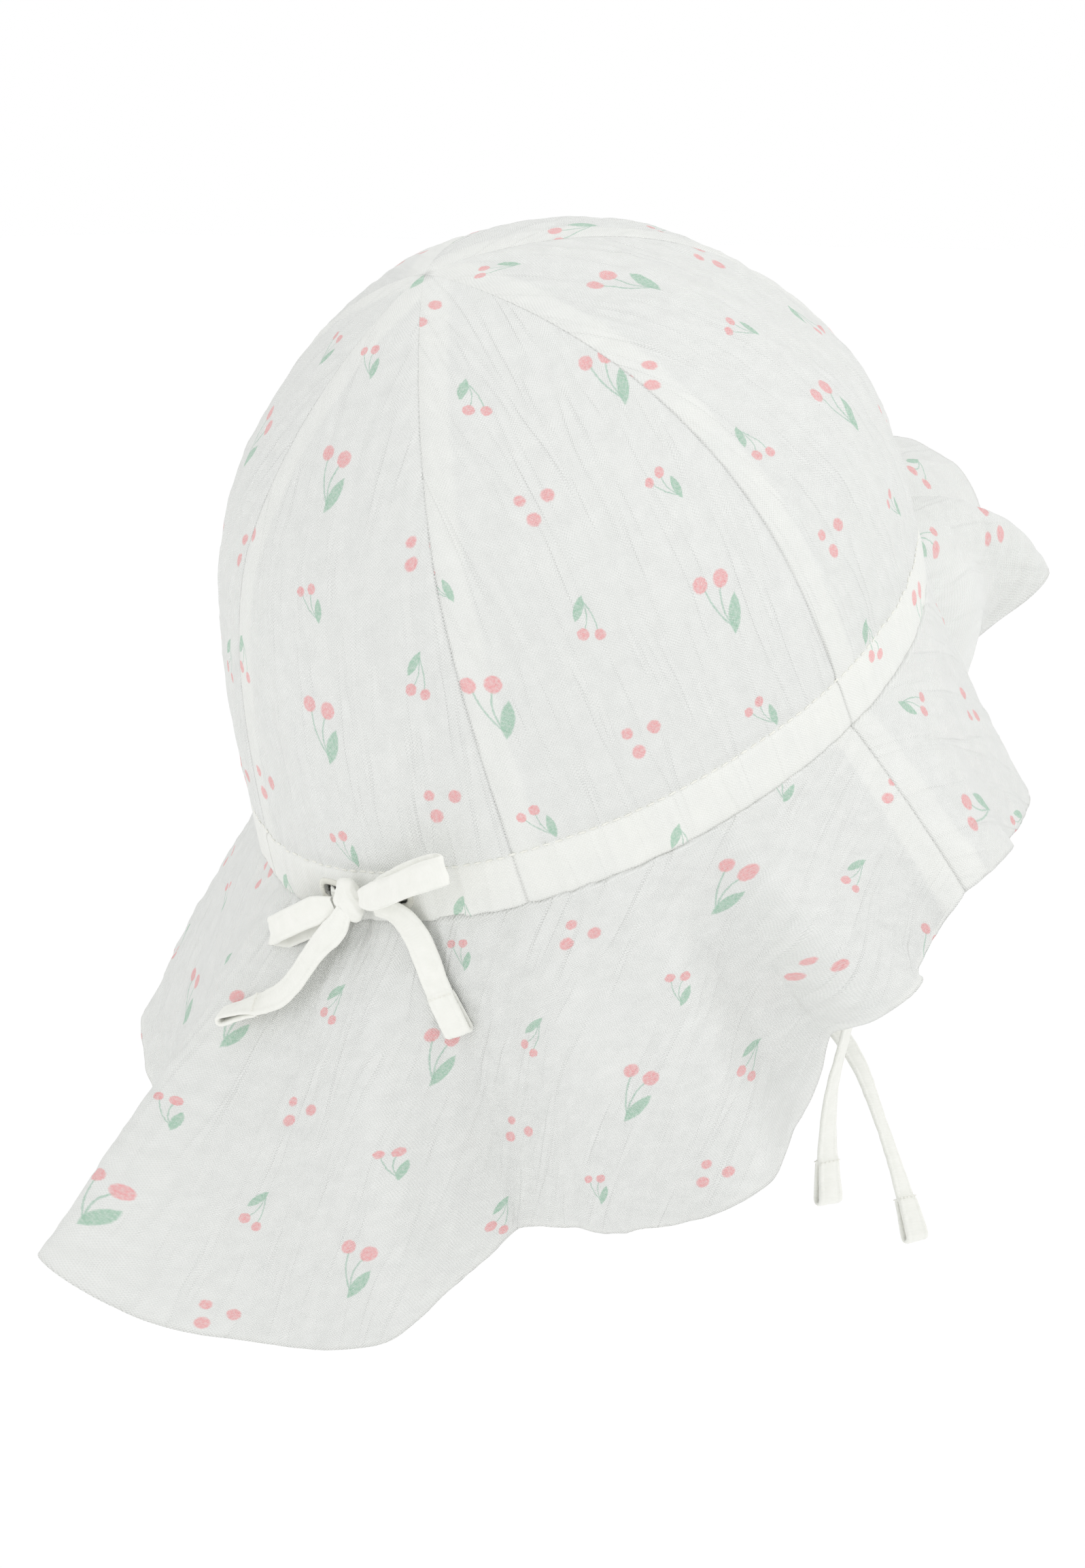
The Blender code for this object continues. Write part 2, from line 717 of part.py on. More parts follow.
def build_hat():
    gores = build_gores()
    right_hole, left_hole = eyelet_angles()
    cut_eyelet(gores["back"], "right_eyelet_cutter", right_hole)
    cut_eyelet(gores["back"], "left_eyelet_cutter", left_hole)
    build_eyelet_rim("eyelet_right", right_hole)
    build_eyelet_rim("eyelet_left", left_hole)
    build_casing()
    build_drawstring()
    build_brim("brim", -SIDE_SEAM, SIDE_SEAM, BRIM_COLUMNS, BRIM_ROWS)
    build_brim("neck_flap", SIDE_SEAM, 360.0 - SIDE_SEAM, FLAP_COLUMNS, FLAP_ROWS)
    build_knot()
    build_bow_loop("bow_loop_left", LEFT_LOOP)
    build_bow_loop("bow_loop_right", RIGHT_LOOP)
    build_bow_tail("bow_tail_left", LEFT_TAIL)
    build_bow_tail("bow_tail_right", RIGHT_TAIL)
    build_chin_tie("chin_tie_right", RIGHT_TIE_START, RIGHT_TIE)
    build_chin_tie("chin_tie_left", LEFT_TIE_START, LEFT_TIE)


for old in list(bpy.data.objects):
    bpy.data.objects.remove(old, do_unlink=True)

build_hat()
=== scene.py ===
# %% [markdown]
# # A small child's sun hat
#
# This lesson dresses a plain CAD model of a soft cotton hat: six crown panels, a waved
# brim, a long neck flap, a drawstring bow and two chin ties. The CAD model gives every
# size, so the cloth, the tapes and the stitches are made in the same frame, in metres.
# The brim points to -Y, the flap to +Y, and the origin is the middle of the head opening.

# %% Load the CAD model
import math

import bmesh
import bpy
import numpy as np
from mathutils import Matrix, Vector


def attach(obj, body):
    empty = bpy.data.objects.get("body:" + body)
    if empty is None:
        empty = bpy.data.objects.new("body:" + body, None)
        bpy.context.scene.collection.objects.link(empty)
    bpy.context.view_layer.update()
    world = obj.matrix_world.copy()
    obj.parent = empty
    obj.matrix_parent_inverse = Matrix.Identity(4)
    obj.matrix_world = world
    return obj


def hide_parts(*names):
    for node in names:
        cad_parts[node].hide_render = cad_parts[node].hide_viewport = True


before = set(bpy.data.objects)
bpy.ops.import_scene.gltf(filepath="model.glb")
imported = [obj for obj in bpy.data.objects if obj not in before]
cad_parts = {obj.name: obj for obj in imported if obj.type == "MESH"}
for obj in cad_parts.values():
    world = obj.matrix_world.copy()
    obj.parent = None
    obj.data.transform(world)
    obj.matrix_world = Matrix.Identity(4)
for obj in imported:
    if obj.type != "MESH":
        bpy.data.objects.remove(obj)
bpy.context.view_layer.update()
print("CAD nodes:", len(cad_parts))

# %% [markdown]
# ## The camera
#
# The photograph was taken from behind and to the wearer's right, a little above the
# band, with a long lens from about 1.6 m. Such a lens keeps the hat's near and far side
# at nearly the same scale. The camera is built from its own three directions, because
# they are easier to reason about than three angles.

# %% The camera
CAMERA_TURN = math.radians(221.2)
CAMERA_RISE = math.radians(5.0)
CAMERA_DISTANCE = 1.6
SENSOR_SIZE = 36.0
PHOTO_WIDTH = 1596
PHOTO_HEIGHT = 2306
PIXELS_PER_METRE = 6450
ORIGIN_ACROSS = 872.8
ORIGIN_DOWN = 1037.0

camera_right = Vector((math.cos(CAMERA_TURN), math.sin(CAMERA_TURN), 0.0))
camera_back = Vector((
    math.sin(CAMERA_TURN) * math.cos(CAMERA_RISE),
    -math.cos(CAMERA_TURN) * math.cos(CAMERA_RISE),
    math.sin(CAMERA_RISE),
))
camera_up = camera_back.cross(camera_right)

lens = bpy.data.cameras.new("Camera")
lens.sensor_width = SENSOR_SIZE
lens.lens = PIXELS_PER_METRE * CAMERA_DISTANCE / PHOTO_HEIGHT * SENSOR_SIZE
lens.shift_x = -(ORIGIN_ACROSS - PHOTO_WIDTH / 2) / PHOTO_HEIGHT
lens.shift_y = (ORIGIN_DOWN - PHOTO_HEIGHT / 2) / PHOTO_HEIGHT
camera = bpy.data.objects.new("Camera", lens)
bpy.context.collection.objects.link(camera)
for row in range(3):
    camera.matrix_world[row][0] = camera_right[row]
    camera.matrix_world[row][1] = camera_up[row]
    camera.matrix_world[row][2] = camera_back[row]
    camera.matrix_world[row][3] = camera_back[row] * CAMERA_DISTANCE
bpy.context.scene.camera = camera
print("Lens in millimetres:", round(lens.lens, 1))

# %% [markdown]
# ## The hat's form as formulas
#
# The CAD source draws the crown and the folds with a few named sizes. The same formulas
# are repeated here, but for whole grids of points at once, because cloth needs a mesh
# about a hundred times finer than the CAD solids. Angles run round the head opening: 0
# is the front, 90 the wearer's right and 180 the back. A run is a distance down the
# cloth from the band seam, and a negative run is a distance up the crown.

# %% Sizes of the crown and the folds
BAND_HALF_LENGTH = 0.0861
BAND_HALF_WIDTH = 0.0760
CROWN_HEIGHT = 0.1142
LEAN = math.radians(29.7)
FRONT_SHOULDER, BACK_SHOULDER = 4.08, 2.50
FRONT_ROUNDNESS, BACK_ROUNDNESS = 1.52, 1.30
FRONT_SWELL, BACK_SWELL = 0.0059, -0.0040
SWELL_TOP = 0.654
APEX_SHARE = 0.9990
GORE = 60.0
CLOTH = 0.0012
SEAM_GAP = 0.0004
CASING_HEIGHT = 0.0118
CASING_WALL = 0.0010
CHANNEL_DEPTH = 0.0020
SIDE_LENGTH, BRIM_LENGTH, FLAP_LENGTH = 0.046, 0.058, 0.100
TAPE_WIDTH = 0.0060
TAPE_THICKNESS = 0.0010
END_FOLD = 0.011
KNOT_RISE = 0.0068
KNOT_STANDOFF = 0.0044

# angle, length share, slope at the seam, slope at the edge, sideways drift of the edge
FOLDS = [
    (0, 0.90, 4, 38, 0.00), (9, 0.85, 24, 60, -0.05), (16, 1.45, 8, 78, -0.03),
    (24, 1.00, 30, 112, -0.40), (30, 0.92, 88, 98, -0.25), (38, 0.83, 90, 86, -0.07),
    (48, 0.80, 86, 86, 0.00), (60, 0.66, 80, 82, 0.00), (72, 0.42, 76, 82, 0.00),
    (81, 0.17, 68, 76, 0.00), (90, 0.00, 66, 75, 0.00), (97, 0.06, 66, 84, -0.03),
    (104, 0.11, 62, 82, -0.08), (111, 0.15, 54, 76, -0.16), (116, 0.17, 46, 84, -0.18),
    (121, 0.27, 72, 106, -0.18), (127, 0.49, 82, 90, -0.08), (134, 0.59, 68, 82, -0.02),
    (142, 0.62, 60, 86, 0.00), (150, 0.61, 50, 96, 0.00), (158, 0.54, 66, 86, 0.00),
    (166, 0.56, 76, 88, 0.05), (173, 0.72, 66, 80, 0.06), (179, 0.92, 50, 74, 0.02),
    (192, 0.98, 46, 58, 0.00), (200, 1.03, 38, 46, 0.00), (205, 1.01, 32, 32, 0.00),
    (216, 0.85, 44, 70, 0.00), (228, 0.63, 44, 60, 0.00), (240, 0.46, 42, 47, 0.00),
    (250, 0.44, 42, 46, 0.00), (264, 0.16, 45, 60, 0.00), (270, 0.00, 50, 62, 0.00),
    (286, 0.35, 44, 64, 0.03), (302, 0.70, 62, 84, 0.05), (318, 0.85, 34, 58, 0.00),
    (332, 0.95, 20, 58, 0.04), (346, 1.00, 1, 27, 0.00),
]


# %% Crown and folds as grids
def mix(front, back, angle):
    """Value between the front's and the back's at angles in degrees."""
    return front + (back - front) * (0.5 - 0.5 * np.cos(np.radians(angle)))


def unit(vectors):
    """Vectors of length one."""
    return vectors / np.maximum(np.linalg.norm(vectors, axis=-1, keepdims=True), 1e-12)


def hung(points):
    """Points of the band plane, brought to the hat as it hangs."""
    x, y, z = points[..., 0], points[..., 1], points[..., 2]
    cosine, sine = math.cos(LEAN), math.sin(LEAN)
    return np.stack((x, y * cosine + z * sine, z * cosine - y * sine), -1)


def crown_places(angle, share):
    """Outer face of the crown, at angles and shares of its height."""
    angle, share = np.broadcast_arrays(np.asarray(angle, float), np.asarray(share, float))
    shoulder = mix(FRONT_SHOULDER, BACK_SHOULDER, angle)
    roundness = mix(FRONT_ROUNDNESS, BACK_ROUNDNESS, angle)
    swell = mix(FRONT_SWELL, BACK_SWELL, angle)
    swell = swell * np.sin(np.pi * np.clip(share / SWELL_TOP, 0.0, 1.0))
    narrowing = (1.0 - np.clip(share, 0.0, 1.0) ** shoulder) ** (1.0 / roundness)
    turn = np.radians(angle)
    x = -(BAND_HALF_WIDTH * narrowing + swell) * np.sin(turn)
    y = -(BAND_HALF_LENGTH * narrowing + swell) * np.cos(turn)
    return np.stack((x, y, CROWN_HEIGHT * share), -1)


def band_outward(angle):
    """Level outward directions at the head opening."""
    turn = np.radians(np.asarray(angle, float))
    way = (-np.sin(turn) / BAND_HALF_WIDTH, -np.cos(turn) / BAND_HALF_LENGTH, 0.0 * turn)
    return unit(np.stack(way, -1))


def monotone_slopes(places, values):
    """Slopes of a smooth curve that never overshoots its values."""
    steps = np.diff(places)
    rises = np.diff(values) / steps
    slopes = np.zeros(len(values))
    for i in range(1, len(values) - 1):
        if rises[i - 1] * rises[i] > 0:
            near = 2 * steps[i] + steps[i - 1]
            far = steps[i] + 2 * steps[i - 1]
            slopes[i] = (near + far) / (near / rises[i - 1] + far / rises[i])
    return slopes


fold_rows = []
for fold_angle, length_share, seam_slope, edge_slope, sway in FOLDS:
    longest = FLAP_LENGTH if 90 < fold_angle < 270 else BRIM_LENGTH
    cloth_length = SIDE_LENGTH + length_share * (longest - SIDE_LENGTH)
    fold_rows.append((fold_angle, cloth_length, seam_slope, edge_slope, sway))
fold_rows = np.array(
    [(row[0] - 360, *row[1:]) for row in fold_rows[-3:]]
    + fold_rows
    + [(row[0] + 360, *row[1:]) for row in fold_rows[:3]],
    float,
)
fold_slopes = [monotone_slopes(fold_rows[:, 0], fold_rows[:, column]) for column in range(1, 5)]


def folds_at(angle):
    """Length, seam slope, edge slope and sway of the cloth at angles."""
    angle = np.asarray(angle, float) % 360.0
    places = fold_rows[:, 0]
    i = np.searchsorted(places, angle, side="right") - 1
    gap = places[i + 1] - places[i]
    t = (angle - places[i]) / gap
    found = []
    for column, slopes in zip(range(1, 5), fold_slopes):
        low, high = fold_rows[i, column], fold_rows[i + 1, column]
        value = low * (1 + 2 * t) * (1 - t) ** 2 + slopes[i] * gap * t * (1 - t) ** 2
        value = value + high * t * t * (3 - 2 * t) - slopes[i + 1] * gap * t * t * (1 - t)
        found.append(value)
    return found


def cloth_places(angle, share):
    """Middle of the brim's or flap's cloth, at angles and shares of its length."""
    angle, share = np.broadcast_arrays(np.asarray(angle, float), np.asarray(share, float))
    length, at_seam, at_edge, drift = folds_at(angle)
    start, turn = np.radians(at_seam), np.radians(at_edge - at_seam)
    turn = np.where(np.abs(turn) < 1e-4, 1e-4, turn)
    slope = start + turn * share
    out = length * (np.sin(slope) - np.sin(start)) / turn
    drop = length * (np.cos(start) - np.cos(slope)) / turn
    outward = band_outward(angle)
    sideways = np.stack((outward[..., 1], -outward[..., 0], 0.0 * share), -1)
    places = crown_places(angle, 0.0 * share) - outward * CLOTH / 2
    places = places + outward * out[..., None] + sideways * (drift * length * share**2)[..., None]
    places[..., 2] -= SEAM_GAP + drop
    return places


def grid_normals(points):
    """Unit normals of a grid, by the way from row to row and from column to column."""
    rows = np.gradient(points, axis=0)
    columns = np.gradient(points, axis=1)
    return unit(np.cross(rows, columns))


print("Length of the flap at the back in mm:", round(float(folds_at(180.0)[0]) * 1e3, 1))

# %% [markdown]
# ## Places for the tapes
#
# The bow's tails lie over the flap, so their routes are given as angle, run and height
# over the cloth. The loops are given from the middle of the knot, to the right, out and
# up. The chin ties hang free, so their routes are plain places on the hung hat. The
# right tail and the ties follow the CAD source's own tables. The left tail leaves the
# knot by another way than its solid, the left loop hangs lower and the right loop lies
# flatter than theirs, because that is closer to the photograph.

# %% Routes of the tapes
# angle, run, height over the cloth, twist in degrees
LEFT_TAIL = [
    (180.5, -0.0052, 0.0060, 0), (182.2, -0.0018, 0.0066, 0), (186.1, 0.0070, 0.0056, 2),
    (188.9, 0.0119, 0.0048, 4), (190.8, 0.0162, 0.0044, 8), (193.6, 0.0209, 0.0040, 14),
    (196.3, 0.0241, 0.0038, 28), (198.6, 0.0273, 0.0040, 46), (201.6, 0.0320, 0.0046, 58),
]
RIGHT_TAIL = [
    (175.9, -0.0048, 0.0034, 0), (173.1, -0.0044, 0.0034, 0), (171.1, -0.0024, 0.0032, 0),
    (169.6, 0.0024, 0.0028, 0), (169.1, 0.0074, 0.0024, 0), (168.7, 0.0140, 0.0022, 6),
    (167.8, 0.0202, 0.0022, 4), (166.6, 0.0262, 0.0022, 0),
]
# right, out, up from the knot's middle, twist
LEFT_LOOP = [
    (-0.0048, 0.0004, -0.0014, 4), (-0.0110, 0.0008, -0.0032, 12),
    (-0.0190, 0.0004, -0.0064, 18), (-0.0262, -0.0008, -0.0096, 14),
    (-0.0290, -0.0022, -0.0112, 0), (-0.0264, -0.0034, -0.0118, -24),
    (-0.0190, -0.0026, -0.0094, -30), (-0.0110, -0.0014, -0.0060, -14),
    (-0.0048, -0.0012, -0.0034, 0),
]
RIGHT_LOOP = [
    (0.0048, 0.0014, 0.0014, -14), (0.0105, 0.0034, 0.0032, -26),
    (0.0180, 0.0042, 0.0058, -32), (0.0262, 0.0034, 0.0088, -26),
    (0.0316, 0.0006, 0.0100, -4), (0.0262, -0.0014, 0.0090, 16),
    (0.0180, -0.0010, 0.0064, 18), (0.0105, -0.0006, 0.0030, 12),
    (0.0048, -0.0002, 0.0004, 6),
]
# x, y, z, and the angle that the tape's flat side faces
RIGHT_TIE_START = 84.0
RIGHT_TIE = [
    (-0.0690, -0.0100, -0.0140, 80), (-0.0660, -0.0150, -0.0400, 78),
    (-0.0570, -0.0230, -0.0680, 76), (-0.0475, -0.0275, -0.0900, 82),
    (-0.0455, -0.0290, -0.1025, 98), (-0.0450, -0.0300, -0.1135, 112),
]
LEFT_TIE_START = 276.0
LEFT_TIE = [
    (0.0700, -0.0150, -0.0120, 100), (0.0660, -0.0310, -0.0370, 106),
    (0.0500, -0.0560, -0.0590, 108), (0.0260, -0.0790, -0.0720, 104),
    (0.0050, -0.0870, -0.0790, 100), (-0.0060, -0.0880, -0.0900, 90),
    (-0.0130, -0.0880, -0.1030, 78), (-0.0205, -0.0880, -0.1200, 90),
    (-0.0245, -0.0880, -0.1315, 112),
]


def crown_normal(angle, share):
    """Outward normal of the crown at one place."""
    around = crown_places(angle + 0.5, share) - crown_places(angle - 0.5, share)
    upward = crown_places(angle, share + 0.002) - crown_places(angle, max(share - 0.002, 0.0))
    return unit(np.cross(upward, around))


def hat_place(angle, run, lift):
    """Place over the hat's outer face and its normal, as it hangs."""
    if run < 0.0:
        share = -run / CROWN_HEIGHT
        normal = crown_normal(angle, share)
        return hung(crown_places(angle, share) + normal * lift), hung(normal)
    share = run / float(folds_at(angle)[0])
    near = max(share, 0.02)
    around = cloth_places(angle + 0.25, near) - cloth_places(angle - 0.25, near)
    downward = cloth_places(angle, near + 0.01) - cloth_places(angle, near - 0.01)
    normal = unit(np.cross(around, downward))
    return hung(cloth_places(angle, share) + normal * (CLOTH / 2 + lift)), hung(normal)


def inside_crown(angle, height, depth):
    """Place on the hung hat, a depth under the crown's outer face."""
    share = height / CROWN_HEIGHT
    return hung(crown_places(angle, share) - crown_normal(angle, share) * depth)


def curve_through(points, count):
    """Evenly parted points of a smooth curve through the given ones."""
    points = np.array(points, float)
    steps = np.linalg.norm(np.diff(points[:, :3], axis=0), axis=1)
    places = np.concatenate([[0.0], np.cumsum(steps)])
    tangents = np.gradient(points, places, axis=0)
    at = np.linspace(0.0, places[-1], count)
    i = np.clip(np.searchsorted(places, at, side="right") - 1, 0, len(points) - 2)
    gap = (places[i + 1] - places[i])[:, None]
    t = ((at - places[i]) / gap[:, 0])[:, None]
    value = points[i] * (1 + 2 * t) * (1 - t) ** 2 + tangents[i] * gap * t * (1 - t) ** 2
    return value + points[i + 1] * t * t * (3 - 2 * t) - tangents[i + 1] * gap * t * t * (1 - t)


def run_length(points):
    """Length of a line of points."""
    return float(np.linalg.norm(np.diff(points, axis=0), axis=1).sum())


# %% [markdown]
# ## A tape as a swept strip
#
# The ties, the bow and the drawstring are one kind of tape: a strip of cotton folded in
# from both sides and sewn shut, 6 mm wide and about 1 mm thick. A box swept along a line
# would look like plastic, so the section here is a soft oval with a shallow fold line
# near each edge, and the width and the thickness waver a little along the way.

# %% Sweeping a tape
TAPE_SECTION = [
    (-1.00, 0.00), (-0.97, 0.55), (-0.84, 0.92), (-0.66, 0.98), (-0.58, 0.80), (-0.50, 0.99),
    (-0.20, 1.06), (0.20, 1.06), (0.50, 0.99), (0.58, 0.80), (0.66, 0.98), (0.84, 0.92),
    (0.97, 0.55), (1.00, 0.00), (0.97, -0.55), (0.84, -0.92), (0.45, -1.00), (0.00, -1.04),
    (-0.45, -1.00), (-0.84, -0.92), (-0.97, -0.55),
]


def soft_noise(x, y, seed):
    """Smooth random heights from -1 to 1 over a plane, one cell to a unit."""
    table = np.random.default_rng(seed).uniform(-1.0, 1.0, (64, 64))
    x, y = np.broadcast_arrays(np.asarray(x, float), np.asarray(y, float))
    i, j = np.floor(x).astype(int), np.floor(y).astype(int)
    s, t = x - i, y - j
    s, t = s * s * (3 - 2 * s), t * t * (3 - 2 * t)
    low = table[i % 64, j % 64] * (1 - s) + table[(i + 1) % 64, j % 64] * s
    high = table[i % 64, (j + 1) % 64] * (1 - s) + table[(i + 1) % 64, (j + 1) % 64] * s
    return low * (1 - t) + high * t


def mesh_piece(name, points, faces, uvs, material):
    """Object of a mesh with a UV map in metres, one UV to a vertex."""
    mesh = bpy.data.meshes.new(name)
    mesh.from_pydata([tuple(p) for p in points], [], [tuple(f) for f in faces])
    mesh.shade_smooth()
    layer = mesh.uv_layers.new(name="cut")
    corners = np.empty(len(mesh.loops), int)
    mesh.loops.foreach_get("vertex_index", corners)
    layer.data.foreach_set("uv", np.asarray(uvs, np.float32)[corners].ravel())
    mesh.materials.append(material)
    piece = bpy.data.objects.new(name, mesh)
    bpy.context.collection.objects.link(piece)
    return piece


def sweep_tape(name, spine, facings, widths, material, seed, creased=0.0):
    """Tape along a spine, its flat side turned to the facings."""
    count = len(spine)
    tangents = unit(np.gradient(spine, axis=0))
    sides = unit(np.cross(tangents, facings))
    normals = np.cross(sides, tangents)
    along = np.concatenate([[0.0], np.cumsum(np.linalg.norm(np.diff(spine, axis=0), axis=1))])
    waver = soft_noise(along * 1e3 / 4.0, 0.5, seed)
    section = np.array(TAPE_SECTION)
    points, uvs = [], []
    for i in range(count):
        half = widths[i] / 2 * (1 + 0.03 * waver[i])
        thick = TAPE_THICKNESS / 2 * (1 + 0.10 * soft_noise(along[i] * 1e3 / 2.5, 3.5, seed + 1))
        for across, rise in section:
            lift = rise * thick + 0.00010 * soft_noise(along[i] * 1e3 / 1.6, across * 1.7, seed + 2)
            lift += creased * math.cos(across * 10.0 + 2.0 * waver[i])
            points.append(spine[i] + sides[i] * across * half + normals[i] * lift)
            uvs.append((across * TAPE_WIDTH / 2 + 0.02 * seed, along[i]))
    ring = len(section)
    faces = []
    for i in range(count - 1):
        j = i + 1
        for c in range(ring):
            d = (c + 1) % ring
            faces.append((i * ring + c, i * ring + d, j * ring + d, j * ring + c))
    faces.append(tuple(range(ring)))
    faces.append(tuple(range((count - 1) * ring, count * ring))[::-1])
    return mesh_piece(name, points, faces, uvs, material)


def fold_back(spine, facings, bulge):
    """Lets a tape turn back on itself at its end, in a narrow teardrop."""
    left = run_length(spine) - np.concatenate(
        [[0.0], np.cumsum(np.linalg.norm(np.diff(spine, axis=0), axis=1))]
    )
    tangents = unit(np.gradient(spine, axis=0))
    share = np.clip(1.0 - left / END_FOLD, 0.0, 1.0)
    half = TAPE_THICKNESS * 0.55 * np.clip(share * 7.0, 0.0, 1.0)
    half = half + (bulge - TAPE_THICKNESS * 0.55) * np.sin(share * math.pi / 2) ** 2
    keep = left > bulge
    out = spine[keep] + facings[keep] * half[keep][:, None]
    last = int(np.sum(keep)) - 1
    turn_points, turn_facings = [], []
    for turn in np.linspace(0.0, math.pi, 13)[1:-1]:
        way = facings[last] * math.cos(turn) + tangents[last] * math.sin(turn)
        turn_points.append(spine[last] + way * half[last])
        turn_facings.append(way)
    back = keep & (share > 0.02)
    home = (spine[back] - facings[back] * half[back][:, None])[::-1]
    path = np.vstack([out, turn_points, home])
    ways = np.vstack([facings[keep], turn_facings, -facings[back][::-1]])
    return path, ways


# %% [markdown]
# ## Small helpers for materials
#
# Colours are written as the hex values that one reads off a screen, so they have to be
# turned to linear light before they go into a shader. Node trees are long to write, so
# one function adds a node with its settings and its links in one go.


# %% Colours and nodes
MATH, VECTOR_MATH = "ShaderNodeMath", "ShaderNodeVectorMath"
MIX, NOISE, RANGE = "ShaderNodeMix", "ShaderNodeTexNoise", "ShaderNodeMapRange"


def linear(hex_colour):
    """Linear red, green, blue and alpha of an sRGB hex colour."""
    shares = [int(hex_colour[i : i + 2], 16) / 255 for i in (1, 3, 5)]
    light = [s / 12.92 if s <= 0.04045 else ((s + 0.055) / 1.055) ** 2.4 for s in shares]
    return (*light, 1.0)


def add_node(tree, kind, inputs=None, **settings):
    """Adds a node, sets its properties, and links or sets its input sockets."""
    node = tree.nodes.new(kind)
    for key, value in settings.items():
        setattr(node, key, value)
    for key, value in (inputs or {}).items():
        # A node given as an input stands for its first output.
        if isinstance(value, bpy.types.Node):
            value = value.outputs[0]
        if isinstance(value, bpy.types.NodeSocket):
            tree.links.new(value, node.inputs[key])
        else:
            node.inputs[key].default_value = value
    return node


def fresh_material(name, roughness, sheen):
    """Material with only a plain shader, and that shader."""
    material = bpy.data.materials.new(name)
    material.use_nodes = True
    shader = material.node_tree.nodes["Principled BSDF"]
    shader.inputs["Roughness"].default_value = roughness
    shader.inputs["Sheen Weight"].default_value = sheen
    shader.inputs["Sheen Roughness"].default_value = 0.6
    shader.inputs["Specular IOR Level"].default_value = 0.2
    return material, material.node_tree, shader


# %% [markdown]
# ## Crinkled double gauze
#
# The cloth is cotton double gauze: two very open plain weaves, tacked together and
# crinkled by washing. The eye gets three things from it: a loose weave with threads
# about half a millimetre apart, crinkles that run with the threads every 2 to 3 mm, and
# a milky white that turns creamier where seam allowances lie under it. The weave is
# drawn a little coarser than it is, or it would be lost between the render's pixels.
# The colour, weave and crinkle follow the cloth's own UV map, which is in metres. The colour is
# also painted a little darker along the crinkles' grooves, as painted shade.

# %% Gauze without print
WEAVE_PITCH = 0.70
CRINKLE_PITCH = 3.0
CRINKLE_RUN = 26.0
CROSSING_PITCH, CROSSING_RUN = 2.6, 9.0
GAUZE_THIN, GAUZE_DENSE = "#EFF0EE", "#F4F5F2"
# The grey of the weave's holes also serves as the painted shade colour of the crinkle grooves, and
# GROOVE_SHADE is how much painted shade the grooves get.
GAUZE_HOLES_AND_GROOVE_SHADE, GAUZE_LAYERED = "#CDD1CD", "#F6F6EF"
GROOVE_WIDTH, GROOVE_SHADE, HOLE_TINT = 0.14, 0.05, 0.30
WEAVE_DEPTH, RELIEF_DEPTH = 0.30, 0.00034


